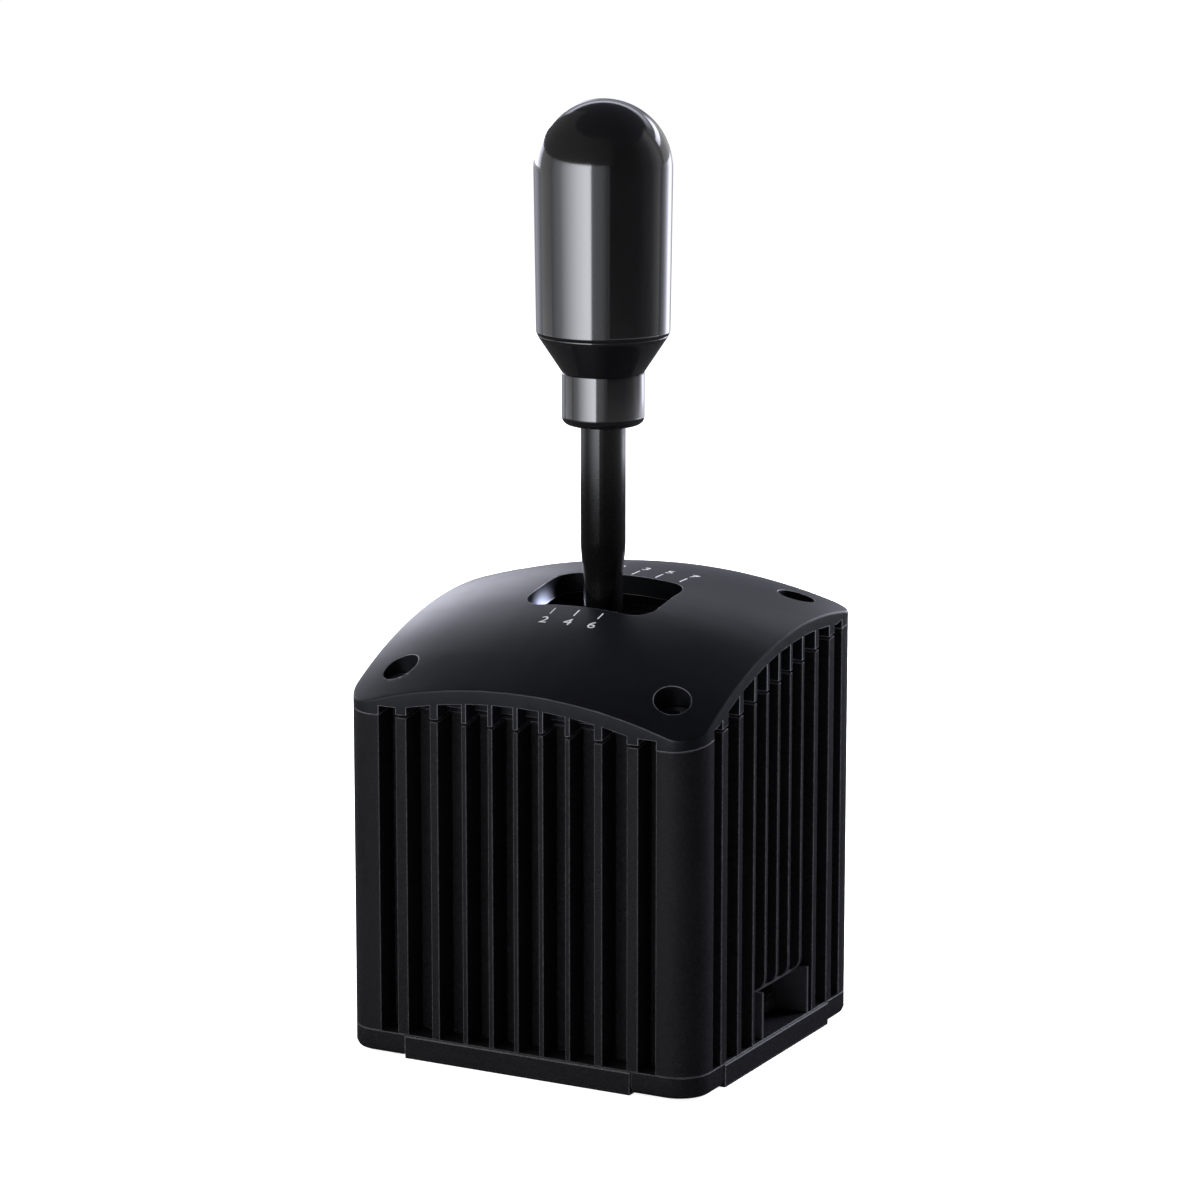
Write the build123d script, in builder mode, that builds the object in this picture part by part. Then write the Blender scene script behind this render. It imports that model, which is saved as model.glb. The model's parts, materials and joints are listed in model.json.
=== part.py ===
"""Sim racing gear shifter: finned casing, domed cover, gimballed lever with a capsule knob.

Frame: +Z up, the driver sits at -Y, +X is the driver's right. The origin is the centre of the
base's underside. Millimetres and degrees.
"""

import os
from math import cos, radians, sin, sqrt, tan

from build123d import *

# Shared clearances and cutting lengths
overrun = 5.0
running_gap = 0.02
free_gap = 0.3
seam_gap = 0.15
flush_drop = 0.2

# Casing and its fins, the same pattern on all four faces
body_width = 112.0
body_depth = 103.8
body_corner = 9.3
groove_depth = 8.0
casing_wall = 3.0
joint_height = 108.8
joint_tilt = 10.4
fin_place_shares = (0.0715, 0.146, 0.2317, 0.3266)
pillar_edge_share = 0.3911
thin_fin = 1.5
medium_fin = 2.5
wide_fin = 3.5
cavity_corner = 2.0
corner_post_width = 8.0
corner_post_depth = 15.0

# Base: a plus-shaped plate whose arms show between four corner blocks
base_height = 6.9
corner_block_width = 20.0
corner_block_depth = 18.5
base_proud = 0.3
base_edge = 0.5
corner_block_lift = 0.7
corner_block_edge = 1.2

# Bolts for a rig, tapped into the base plate
rig_bolt_spacing_x = 66.0
rig_bolt_spacing_y = 60.0
rig_bolt_radius = 2.5

# Domed cover
cover_corner_rise = 2.08
dome_radius_across = 186.0
dome_radius_along = 138.0
dome_sweep = 90.0
cover_rail = 3.5
cover_pocket_depth = 5.0
cover_roof = 6.0
cover_fin_gap = 0.7
pocket_wall_gap = 2.6
cover_edge = 0.8
lever_hole_width = 40.8
lever_hole_depth = 27.6
lever_hole_corner = 6.5
lever_hole_bow = 1.4
cover_screw_inset_x = 13.0
cover_screw_inset_y = 12.4
counterbore_radius = 5.2
cover_seat = 2.5

# Screws
cover_screw_radius = 2.5
cover_screw_head = 4.25
cover_head_height = 3.2
cover_screw_reach = 9.0
cover_screw_key = 2.0
small_screw_radius = 2.0
small_head_radius = 3.5
small_head_height = 2.4
small_key_radius = 1.25
key_depth = 1.5
head_recess = 3.2
block_screw_inset_x = 7.5
block_screw_inset_y = 6.9
block_screw_length = 16.0
base_screw_inset_x = 15.0
base_screw_inset_y = 22.4
base_screw_length = 16.0
frame_screw_x = 25.0
frame_screw_y = 26.0
tiny_screw_radius = 1.25
tiny_head_radius = 2.3
tiny_head_height = 1.3
tiny_key_radius = 0.9

# Lever travel and the pivot
pivot_height = 74.0
lane_angle = 7.1
lanes_each_side = 2
shift_angle = 6.0

# Gate plate at the foot of the mechanism
gate_thickness = 2.0
gate_width = 52.0
gate_depth = 30.0
gate_slot = 5.2
gate_slot_end = 0.45
gate_screw_x = 23.0
gate_screw_y = 12.0

# Mechanism frame
frame_width = 60.0
frame_depth = 68.0
frame_floor = 4.0
frame_window_width = 41.0
frame_window_depth = 24.0
cheek_gap = 54.0
cheek_thickness = 7.0
cheek_foot = 40.0
cheek_eye = 13.0

# Bushes, trunnions and axle
bush_wall = 2.0
flange_wall = 4.0
flange_thickness = 1.0
trunnion_radius = 4.0
axle_radius = 3.0
axle_length = 44.0

# Yoke
yoke_width = 46.0
yoke_depth = 36.0
yoke_window = 26.0
yoke_height = 20.0
yoke_corner = 4.0

# Lever hub, shaft and tail
hub_width = 20.0
hub_depth = 18.0
hub_height = 26.0
hub_edge = 1.5
stud_radius = 4.0
stud_depth = 8.5
neck_radius = 5.65
shaft_radius = 6.4
neck_top = 133.8
taper_top = 142.7
tail_radius = 5.0
tail_cone_top = 22.0
tail_cone_foot = 18.0
tail_pin_radius = 2.0
tail_tip = 8.0

# Knob
collar_foot = 177.7
collar_top = 192.5
collar_radius = 11.7
collar_round = 2.4
cone_top = 202.9
cone_radius = 18.4
knob_step = 0.5
knob_foot_radius = 18.9
knob_radius = 19.5
knob_centre = 249.9
core_radius = 9.0
core_top = 226.0
knob_stud_radius = 4.0
knob_stud_top = 218.0
grub_radius = 2.0
grub_length = 4.8

# Detent between yoke and lever
cam_radius = 30.0
cam_height = 12.0
cam_half_depth = 8.0
cam_left = 8.0
cam_right = 14.5
detent_x = 11.0
detent_pin_radius = 1.6
detent_travel = 0.6
detent_rest_gap = 0.1
notch_gap = 0.15
bridge_top = 41.0
bridge_foot = 34.0
bridge_leg = 4.0
bridge_leg_centre = 19.0
bridge_leg_depth = 14.0
bridge_depth = 27.0
bridge_slot_width = 13.0
bridge_slot_depth = 20.0
detent_boss_radius = 3.6
detent_boss_foot = 30.0
detent_pin_length = 6.4
detent_plug_length = 3.0
detent_wire = 0.5
detent_turns = 4
bridge_bolt_head = 2.2
bridge_bolt_bite = 3.5

# Centring spring round the front trunnion
centring_wire = 1.5
centring_turns = 2.5
centring_pitch = 1.95
centring_inner = 5.4
centring_leg = 15.5
centring_stand = 1.75
lug_height = 2.0
yoke_lug_reach = 7.4
frame_lug_reach = 8.4
frame_lug_drop = 16.0

# Sensors and electronics
magnet_radius = 2.5
magnet_length = 2.0
sensor_gap = 1.0
board_thickness = 1.6
select_board_width = 26.0
select_board_height = 24.0
select_board_drop = 2.0
shift_board_depth = 22.0
shift_board_height = 18.0
standoff_radius = 2.0
standoff_spread = 8.0
select_standoff_drop = 8.0
shift_standoff_drop = 6.0
chip_size = 5.0
chip_height = 1.1

# Connector bay low on the right face
bay_front = -8.9
bay_back = 21.9
bay_top = 20.8
bay_round = 4.0
bezel_wall = 1.0
bezel_recess = 0.6
bezel_flange = 1.2
bezel_lip = 1.5
main_board_inset = 24.5
main_board_front = -12.0
main_board_back = 24.0
main_standoff = 2.0
board_standoff_front = -10.0
board_standoff_back = 9.0
data_jack_y = 1.0
data_jack_width = 9.0
data_jack_height = 3.3
data_jack_length = 8.0
data_jack_wall = 0.35
data_tongue = 0.8
phone_jack_y = 14.0
phone_jack_width = 13.0
phone_jack_height = 9.4
phone_jack_length = 12.5
phone_hole_width = 9.8
phone_hole_height = 6.6
phone_hole_depth = 10.0
phone_key_width = 3.4
phone_key_height = 1.2
cable_radius = 0.8
cable_bend = 4.0
select_cable_x = 4.0
select_cable_low = 16.0
select_cable_inset = 3.0
select_cable_end_y = 22.5
shift_cable_y = -8.0
shift_cable_knee = 45.0
shift_cable_low = 30.0
shift_cable_inset = 3.5

os.makedirs("parts", exist_ok=True)

# Values that follow from the ones above
half_width = body_width / 2
half_depth = body_depth / 2
dome_rise = (cover_corner_rise + half_width**2 / (2 * dome_radius_across)
             + (half_depth / cos(radians(joint_tilt)))**2 / (2 * dome_radius_along))
base_arm_width = body_width - 2 * corner_block_width
base_arm_depth = body_depth - 2 * corner_block_depth
main_board_inner = half_width - main_board_inset
cavity_width = body_width - 2 * (groove_depth + casing_wall)
cavity_depth = body_depth - 2 * (groove_depth + casing_wall)
joint_plane = Plane(
    origin=(0, 0, joint_height),
    x_dir=(1, 0, 0),
    z_dir=(0, -sin(radians(joint_tilt)), cos(radians(joint_tilt))),
)
blank_height = joint_height + body_depth
select_angle = lanes_each_side * lane_angle
corners = [(x, y) for x in (-1, 1) for y in (-1, 1)]
coil_edge_count = 8
point_shares = (0, 0.2, 0.4, 0.6, 0.8)


def corner_places(x, y):
    """The four places that mirror one corner place."""
    return [(side * x, end * y) for side, end in corners]


def groove_spans(length):
    """Start and end of each groove to one side of a face's centre line."""
    widths = (thin_fin, thin_fin, medium_fin, wide_fin)
    edges = [thin_fin / 2]
    for share, width in zip(fin_place_shares, widths):
        edges += [share * length - width / 2, share * length + width / 2]
    edges.append(pillar_edge_share * length)
    return [(edges[i], edges[i + 1]) for i in range(0, len(edges), 2)]


def groove_sketch(plane, depth):
    """The grooves of all four faces, cut a given depth in from the outline."""
    with BuildSketch(plane, mode=Mode.PRIVATE) as grooves:
        for start, end in groove_spans(body_width):
            for side, face in corners:
                with Locations((side * (start + end) / 2, face * (half_depth - depth / 2 + overrun / 2))):
                    Rectangle(end - start, depth + overrun)
        for start, end in groove_spans(body_depth):
            for side, face in corners:
                with Locations((face * (half_width - depth / 2 + overrun / 2), side * (start + end) / 2)):
                    Rectangle(depth + overrun, end - start)
    return grooves.sketch


def fin_band_sketch(plane, depth):
    """The strips between the corner pillars, a given depth in from the outline."""
    with BuildSketch(plane, mode=Mode.PRIVATE) as bands:
        for face in (-1, 1):
            with Locations((0, face * (half_depth - depth / 2 + overrun / 2))):
                Rectangle(2 * pillar_edge_share * body_width, depth + overrun)
            with Locations((face * (half_width - depth / 2 + overrun / 2), 0)):
                Rectangle(depth + overrun, 2 * pillar_edge_share * body_depth)
    return bands.sketch


def dome_slab(drop):
    """Everything under the domed roof, with the roof lowered by a given amount."""
    reach = body_width
    sag = dome_radius_across - sqrt(dome_radius_across**2 - reach**2)
    crown = dome_rise - drop
    low = -dome_radius_along / 2
    across = Plane(joint_plane.origin, x_dir=(1, 0, 0), z_dir=-joint_plane.y_dir)
    turning_point = joint_plane.origin + joint_plane.z_dir * (dome_rise - dome_radius_along)
    turning_axis = Axis(turning_point, (1, 0, 0))
    with BuildPart(mode=Mode.PRIVATE) as slab:
        with BuildSketch(across):
            with BuildLine():
                roof = ThreePointArc((-reach, crown - sag), (0, crown), (reach, crown - sag))
                Polyline(roof @ 1, (reach, low), (-reach, low), roof @ 0)
            make_face()
        revolve(axis=turning_axis, revolution_arc=dome_sweep)
    return slab.part.rotate(turning_axis, -dome_sweep / 2)


def under_dome(sketch, drop):
    """A sketch on the ground plane drawn up to the domed roof, less a given drop."""
    with BuildPart(mode=Mode.PRIVATE) as block:
        add(sketch)
        extrude(amount=blank_height)
        add(dome_slab(drop), mode=Mode.INTERSECT)
    return block.part


def under_joint(sketch, rise):
    """A sketch on the ground plane drawn up to the joint plane, plus a given rise."""
    with BuildPart(mode=Mode.PRIVATE) as block:
        add(sketch)
        extrude(amount=blank_height)
        split(bisect_by=joint_plane.offset(rise), keep=Keep.BOTTOM)
    return block.part


def cavity_sketch():
    """The hollow inside casing and cover, between the four corner posts."""
    with BuildSketch(Plane.XY, mode=Mode.PRIVATE) as cavity:
        RectangleRounded(cavity_width, cavity_depth, cavity_corner)
        with Locations(*corner_places(cavity_width / 2 - corner_post_width / 2,
                                      cavity_depth / 2 - corner_post_depth / 2)):
            Rectangle(corner_post_width, corner_post_depth, mode=Mode.SUBTRACT)
    return cavity.sketch


def coil_path(start_angle, turns, radius, pitch, plane):
    """A helix in quarter turns, each drawn as two tangent arcs, with its start and end headings."""
    quarter = radians(90)

    def place(step):
        angle = radians(start_angle) + step * quarter
        point = Vector(radius * cos(angle), radius * sin(angle), step * pitch / 4)
        heading = Vector(-radius * sin(angle), radius * cos(angle), pitch / 4 / quarter).normalized()
        here = plane.from_local_coords(point)
        return here, plane.from_local_coords(point + heading) - here

    stops = [place(step) for step in range(int(4 * turns) + 1)]
    edges = []
    for (here, heading), (there, leaving) in zip(stops, stops[1:]):
        chord = there - here
        turn = heading + leaving
        a = turn.dot(turn) - 4
        b = -2 * chord.dot(turn)
        reach = (-b - sqrt(b * b - 4 * a * chord.dot(chord))) / (2 * a)
        first = here + heading * reach
        second = there - leaving * reach
        middle = (first + second) * 0.5
        edges.append(Edge.make_tangent_arc(here, heading, middle))
        edges.append(Edge.make_tangent_arc(middle, second - first, there))
    return edges, stops[0], stops[-1]


def least_gap(edges, wire):
    """The least clear space between a coil's turns, measured on points half a turn or more apart."""
    points = [edge @ share for edge in edges for share in point_shares]
    half_turn = coil_edge_count * len(point_shares) // 2
    return min((there - here).length
               for place, here in enumerate(points)
               for there in points[place + half_turn:]) - wire


def save(builder, name):
    """Label a finished piece and write it under its node's name."""
    builder.part.label = name
    export_step(builder.part, f"parts/{name}.step")
    print(name, len(builder.part.solids()), "solids", round(builder.part.volume), "mm3")


def screw_set(plane, places, head_radius, head_height, shank_radius, length, key_radius):
    """Screws whose heads stand on a plane, with their shanks below it."""
    with BuildPart(mode=Mode.PRIVATE) as screws:
        with BuildSketch(plane):
            with Locations(*places):
                Circle(head_radius)
        extrude(amount=head_height)
        with BuildSketch(plane):
            with Locations(*places):
                Circle(shank_radius)
        extrude(amount=-length)
        with BuildSketch(plane.offset(head_height)):
            with Locations(*places):
                RegularPolygon(key_radius, 6)
        extrude(amount=-min(key_depth, head_height / 2), mode=Mode.SUBTRACT)
    return screws.part


def bores(plane, places, radius, depth):
    """Round bores from a plane, against its direction."""
    with BuildPart(mode=Mode.PRIVATE) as holes:
        with BuildSketch(plane):
            with Locations(*places):
                Circle(radius)
        extrude(amount=-depth)
    return holes.part


# Casing
cover_screw_places = corner_places(half_width - cover_screw_inset_x, half_depth - cover_screw_inset_y)
block_screw_places = corner_places(half_width - block_screw_inset_x, half_depth - block_screw_inset_y)
base_screw_places = corner_places(half_width - base_screw_inset_x, half_depth - base_screw_inset_y)
frame_screw_places = corner_places(frame_screw_x, frame_screw_y)
gate_screw_places = corner_places(gate_screw_x, gate_screw_y)
below = Plane.XY.offset(base_height).rotated((180, 0, 0))
inner_face = cavity_width / 2

with BuildPart() as casing:
    with BuildSketch(Plane.XY.offset(base_height)):
        RectangleRounded(body_width, body_depth, body_corner)
        add(groove_sketch(Plane.XY, groove_depth), mode=Mode.SUBTRACT)
        add(cavity_sketch(), mode=Mode.SUBTRACT)
    extrude(amount=blank_height)
    split(bisect_by=joint_plane, keep=Keep.BOTTOM)
    add(bores(joint_plane, cover_screw_places, cover_screw_radius + running_gap,
              cover_screw_reach + free_gap), mode=Mode.SUBTRACT)
    for places, length in ((block_screw_places, block_screw_length), (base_screw_places, base_screw_length)):
        add(bores(below, places, small_screw_radius + running_gap, length), mode=Mode.SUBTRACT)
    with BuildSketch(Plane.XZ.offset(-bay_back)):
        with BuildLine():
            Polyline(
                (half_width + overrun, bay_top + bay_round),
                (half_width + overrun, 0),
                (inner_face - overrun, 0),
                (inner_face - overrun, bay_top),
                (half_width - bay_round, bay_top),
            )
            CenterArc((half_width - bay_round, bay_top + bay_round), bay_round, 270, 90)
            Line((half_width, bay_top + bay_round), (half_width + overrun, bay_top + bay_round))
        make_face()
    extrude(amount=bay_back - bay_front, mode=Mode.SUBTRACT)
save(casing, "casing")

# Top cover
lever_hole_y = dome_rise * tan(radians(joint_tilt))
with BuildPart() as top_cover:
    with BuildSketch():
        RectangleRounded(body_width, body_depth, body_corner)
    extrude(amount=blank_height)
    add(dome_slab(0), mode=Mode.INTERSECT)
    split(bisect_by=joint_plane, keep=Keep.TOP)
    roof_face = top_cover.faces().filter_by(GeomType.PLANE, reverse=True).sort_by(SortBy.AREA)[-1]
    fillet(roof_face.edges(), cover_edge)
    add(under_dome(cavity_sketch(), cover_roof), mode=Mode.SUBTRACT)
    add(under_dome(groove_sketch(Plane.XY, cover_pocket_depth), cover_rail), mode=Mode.SUBTRACT)
    add(under_joint(groove_sketch(Plane.XY, groove_depth), pocket_wall_gap), mode=Mode.SUBTRACT)
    add(under_joint(fin_band_sketch(Plane.XY, groove_depth), cover_fin_gap), mode=Mode.SUBTRACT)
    with BuildSketch(joint_plane.offset(cover_seat)):
        with Locations(*cover_screw_places):
            Circle(counterbore_radius)
    extrude(amount=dome_rise, mode=Mode.SUBTRACT)
    with BuildSketch(joint_plane):
        with Locations(*cover_screw_places):
            Circle(cover_screw_radius + free_gap)
    extrude(amount=dome_rise, mode=Mode.SUBTRACT)
    with BuildSketch(joint_plane):
        with BuildLine():
            near = lever_hole_y - lever_hole_depth / 2
            far = lever_hole_y + lever_hole_depth / 2
            side = lever_hole_width / 2
            front_edge = ThreePointArc((-side, near), (0, near + lever_hole_bow), (side, near))
            back_edge = ThreePointArc((-side, far), (0, far + lever_hole_bow), (side, far))
            Line(front_edge @ 0, back_edge @ 0)
            Line(front_edge @ 1, back_edge @ 1)
        make_face()
        fillet(vertices(), lever_hole_corner)
    extrude(amount=dome_rise + overrun, mode=Mode.SUBTRACT)
save(top_cover, "top_cover")

cover_screw_plane = joint_plane.offset(cover_seat)
with BuildPart() as cover_screws:
    add(screw_set(cover_screw_plane, cover_screw_places, cover_screw_head, cover_head_height,
                  cover_screw_radius, cover_seat + cover_screw_reach, cover_screw_key))
save(cover_screws, "cover_screws")

# Base plate, corner blocks and their screws
with BuildPart() as base_plate:
    with BuildSketch():
        Rectangle(base_arm_width, body_depth + 2 * base_proud)
        Rectangle(body_width + 2 * base_proud, base_arm_depth)
    extrude(amount=base_height)
    top_edges = base_plate.edges().group_by(Axis.Z)[-1]
    ends = [top_edges.group_by(axis)[end] for axis in (Axis.X, Axis.Y) for end in (0, -1)]
    chamfer([edge for group in ends for edge in group], base_edge)
    for places in (base_screw_places, frame_screw_places):
        add(bores(Plane.XY.offset(head_recess), places, small_head_radius + free_gap, head_recess),
            mode=Mode.SUBTRACT)
        add(bores(Plane.XY.offset(base_height), places, small_screw_radius + free_gap, base_height),
            mode=Mode.SUBTRACT)
    rig_bolt_places = corner_places(rig_bolt_spacing_x / 2, rig_bolt_spacing_y / 2)
    add(bores(Plane.XY.offset(base_height), rig_bolt_places, rig_bolt_radius, base_height),
        mode=Mode.SUBTRACT)
save(base_plate, "base_plate")

block_seat = corner_block_lift + head_recess
with BuildPart() as corner_blocks:
    with BuildSketch(Plane.XY.offset(corner_block_lift)):
        RectangleRounded(body_width, body_depth, body_corner)
        Rectangle(base_arm_width + 2 * seam_gap, body_depth + overrun, mode=Mode.SUBTRACT)
        Rectangle(body_width + overrun, base_arm_depth + 2 * seam_gap, mode=Mode.SUBTRACT)
    extrude(amount=base_height - corner_block_lift)
    foot_edges = corner_blocks.edges().group_by(Axis.Z)[0]
    chamfer(foot_edges, corner_block_edge, corner_block_edge / 2)
    add(bores(Plane.XY.offset(block_seat), block_screw_places, small_head_radius + free_gap, head_recess),
        mode=Mode.SUBTRACT)
    add(bores(Plane.XY.offset(base_height), block_screw_places, small_screw_radius + free_gap, base_height),
        mode=Mode.SUBTRACT)
save(corner_blocks, "corner_blocks")

down = Plane.XY.rotated((180, 0, 0))
with BuildPart() as block_screws:
    add(screw_set(down.offset(-block_seat), block_screw_places, small_head_radius, small_head_height,
                  small_screw_radius, block_screw_length, small_key_radius))
save(block_screws, "block_screws")

with BuildPart() as base_screws:
    add(screw_set(down.offset(-head_recess), base_screw_places, small_head_radius, small_head_height,
                  small_screw_radius, base_screw_length, small_key_radius))
save(base_screws, "base_screws")

floor_top = base_height + frame_floor
with BuildPart() as frame_screws:
    add(screw_set(down.offset(-head_recess), frame_screw_places, small_head_radius, small_head_height,
                  small_screw_radius, floor_top - head_recess - flush_drop, small_key_radius))
save(frame_screws, "frame_screws")

# Gate plate with five lanes, cut where the lever's foot pin really runs
gate_top = floor_top + gate_thickness
gate_drop = pivot_height - (floor_top + gate_thickness / 2)
gate_reach = (
    (pivot_height - floor_top) * tan(radians(shift_angle)) / cos(radians(select_angle))
    + tail_pin_radius
    + gate_slot_end
)
lane_places = [gate_drop * tan(radians(lane * lane_angle))
               for lane in range(-lanes_each_side, lanes_each_side + 1)]
with BuildPart() as gate_plate:
    with BuildSketch(Plane.XY.offset(floor_top)):
        RectangleRounded(gate_width, gate_depth, cavity_corner)
        with Locations(*[(place, 0) for place in lane_places]):
            Rectangle(gate_slot, 2 * gate_reach, mode=Mode.SUBTRACT)
        Rectangle(2 * lane_places[-1] + gate_slot, gate_slot, mode=Mode.SUBTRACT)
        with Locations(*gate_screw_places):
            Circle(tiny_screw_radius + free_gap, mode=Mode.SUBTRACT)
    extrude(amount=gate_thickness)
save(gate_plate, "gate_plate")

with BuildPart() as gate_screws:
    add(screw_set(Plane.XY.offset(gate_top), gate_screw_places, tiny_head_radius, tiny_head_height,
                  tiny_screw_radius, gate_thickness + frame_floor - flush_drop, tiny_key_radius))
save(gate_screws, "gate_screws")

# Mechanism frame: a floor with two cheeks that carry the yoke
cheek_face = cheek_gap / 2
cheek_back = cheek_face + cheek_thickness
bush_radius = trunnion_radius + bush_wall
lug_width = 2 * (centring_inner - running_gap)
with BuildPart() as mechanism_frame:
    with BuildSketch(Plane.XY.offset(base_height)):
        RectangleRounded(frame_width, frame_depth, cavity_corner)
        RectangleRounded(frame_window_width, frame_window_depth, cavity_corner, mode=Mode.SUBTRACT)
    extrude(amount=frame_floor)
    with BuildSketch(Plane.XZ.offset(cheek_face)) as cheek:
        with BuildLine():
            eye = ThreePointArc((cheek_eye, pivot_height), (0, pivot_height + cheek_eye),
                                (-cheek_eye, pivot_height))
            Polyline(eye @ 1, (-cheek_foot / 2, base_height), (cheek_foot / 2, base_height), eye @ 0)
        make_face()
        with Locations((0, pivot_height)):
            Circle(bush_radius + running_gap, mode=Mode.SUBTRACT)
        with Locations((0, (pivot_height + floor_top) / 2 - cheek_eye / 2)):
            RectangleRounded(cheek_eye, 2 * cheek_eye, cheek_eye / 4, mode=Mode.SUBTRACT)
    extrude(amount=cheek_thickness)
    with BuildSketch(Plane.XZ.offset(cheek_face)):
        with Locations((0, pivot_height - frame_lug_drop + lug_height / 2)):
            Rectangle(lug_width, lug_height)
    extrude(amount=-frame_lug_reach)
    with BuildSketch(Plane.XZ.offset(-cheek_back)):
        add(cheek.sketch_local)
    extrude(amount=cheek_thickness)
    for places, radius in ((frame_screw_places, small_screw_radius), (gate_screw_places, tiny_screw_radius)):
        add(bores(Plane.XY.offset(floor_top), places, radius + running_gap, frame_floor), mode=Mode.SUBTRACT)
save(mechanism_frame, "mechanism_frame")

with BuildPart() as select_bushes:
    with BuildSketch(Plane.XZ.offset(cheek_face)):
        with Locations((0, pivot_height)):
            Circle(bush_radius)
            Circle(trunnion_radius + running_gap, mode=Mode.SUBTRACT)
    extrude(amount=cheek_thickness)
    with BuildSketch(Plane.XZ.offset(cheek_face)):
        with Locations((0, pivot_height)):
            Circle(trunnion_radius + flange_wall)
            Circle(trunnion_radius + running_gap, mode=Mode.SUBTRACT)
    extrude(amount=-flange_thickness)
    mirror(about=Plane.XZ)
save(select_bushes, "select_bushes")

# Yoke: a square ring on two trunnions
yoke_side = yoke_width / 2
yoke_end = yoke_depth / 2
yoke_foot = pivot_height - yoke_height / 2
axle_bush_radius = axle_radius + bush_wall
with BuildPart() as yoke:
    with BuildSketch(Plane.XY.offset(yoke_foot)):
        RectangleRounded(yoke_width, yoke_depth, yoke_corner)
        Rectangle(yoke_window, yoke_window, mode=Mode.SUBTRACT)
    extrude(amount=yoke_height)
    with BuildSketch(Plane.XZ.offset(-yoke_end)):
        with Locations((0, pivot_height)):
            Circle(trunnion_radius + running_gap)
    extrude(amount=yoke_depth, mode=Mode.SUBTRACT)
    with BuildSketch(Plane.YZ.offset(-yoke_side)):
        with Locations((0, pivot_height)):
            Circle(axle_bush_radius + running_gap)
    extrude(amount=yoke_width, mode=Mode.SUBTRACT)
    with BuildSketch(Plane.XZ.offset(yoke_end)):
        with Locations((0, yoke_foot + lug_height / 2)):
            Rectangle(lug_width, lug_height)
    extrude(amount=yoke_lug_reach)
    with BuildSketch(Plane.XY.offset(yoke_foot)):
        with Locations((-bridge_leg_centre, 0), (bridge_leg_centre, 0)):
            Circle(tiny_screw_radius + running_gap)
    extrude(amount=bridge_bolt_bite + free_gap, mode=Mode.SUBTRACT)
save(yoke, "yoke")

trunnion_start = yoke_window / 2 + free_gap
with BuildPart() as yoke_trunnions:
    for side in (-1, 1):
        with BuildSketch(Plane.XZ.offset(side * trunnion_start)):
            with Locations((0, pivot_height)):
                Circle(trunnion_radius)
        extrude(amount=side * (cheek_back + free_gap - trunnion_start))
save(yoke_trunnions, "yoke_trunnions")

with BuildPart() as axle_bushes:
    with BuildSketch(Plane.YZ.offset(yoke_window / 2)):
        with Locations((0, pivot_height)):
            Circle(axle_bush_radius)
            Circle(axle_radius + running_gap, mode=Mode.SUBTRACT)
    extrude(amount=yoke_side - yoke_window / 2)
    with BuildSketch(Plane.YZ.offset(yoke_window / 2)):
        with Locations((0, pivot_height)):
            Circle(axle_bush_radius + bush_wall)
            Circle(axle_radius + running_gap, mode=Mode.SUBTRACT)
    extrude(amount=-flange_thickness)
    mirror(about=Plane.YZ)
save(axle_bushes, "axle_bushes")

# Centring spring round the front trunnion, its legs astride a lug on the yoke and one on the frame
coil_radius = centring_inner + centring_wire / 2
coil_plane = Plane(origin=(0, -yoke_end - centring_stand, pivot_height), x_dir=(1, 0, 0), z_dir=(0, -1, 0))
coil_edges, coil_start, coil_end = coil_path(0, centring_turns, coil_radius, centring_pitch, coil_plane)
print("centring spring, least gap between turns", round(least_gap(coil_edges, centring_wire), 3), "mm")
leg_in = Edge.make_line(coil_start[0] - coil_start[1] * centring_leg, coil_start[0])
leg_out = Edge.make_line(coil_end[0], coil_end[0] + coil_end[1] * centring_leg)
with BuildPart() as centring_spring:
    with BuildSketch(Plane(origin=leg_in @ 0, z_dir=leg_in % 0)):
        Circle(centring_wire / 2)
    sweep(path=Wire([leg_in] + coil_edges + [leg_out]))
save(centring_spring, "centring_spring")

# Lever hub, axle, shaft and tail
with BuildPart() as lever_hub:
    with BuildSketch(Plane.XY.offset(pivot_height - hub_height / 2)):
        Rectangle(hub_width, hub_depth)
    extrude(amount=hub_height)
    chamfer(lever_hub.edges(), hub_edge)
    with BuildSketch(Plane.YZ.offset(-hub_width / 2)):
        with Locations((0, pivot_height)):
            Circle(axle_radius + running_gap)
    extrude(amount=hub_width, mode=Mode.SUBTRACT)
    for plane in (Plane.XY.offset(pivot_height + hub_height / 2),
                  Plane.XY.rotated((180, 0, 0)).offset(hub_height / 2 - pivot_height)):
        add(bores(plane, [(0, 0)], stud_radius + running_gap, stud_depth + free_gap), mode=Mode.SUBTRACT)
save(lever_hub, "lever_hub")

with BuildPart() as lever_axle:
    with BuildSketch(Plane.YZ.offset(-axle_length / 2)):
        with Locations((0, pivot_height)):
            Circle(axle_radius)
    extrude(amount=axle_length)
save(lever_axle, "lever_axle")

hub_top = pivot_height + hub_height / 2
hub_foot = pivot_height - hub_height / 2
with BuildPart() as lever_shaft:
    with BuildSketch(Plane.XZ):
        with BuildLine():
            Polyline(
                (0, hub_top - stud_depth),
                (stud_radius, hub_top - stud_depth),
                (stud_radius, hub_top),
                (neck_radius, hub_top),
                (neck_radius, neck_top),
                (shaft_radius, taper_top),
                (shaft_radius, collar_top),
                (knob_stud_radius, collar_top),
                (knob_stud_radius, knob_stud_top),
                (0, knob_stud_top),
                close=True,
            )
        make_face()
    revolve(axis=Axis.Z)
save(lever_shaft, "lever_shaft")

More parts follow.
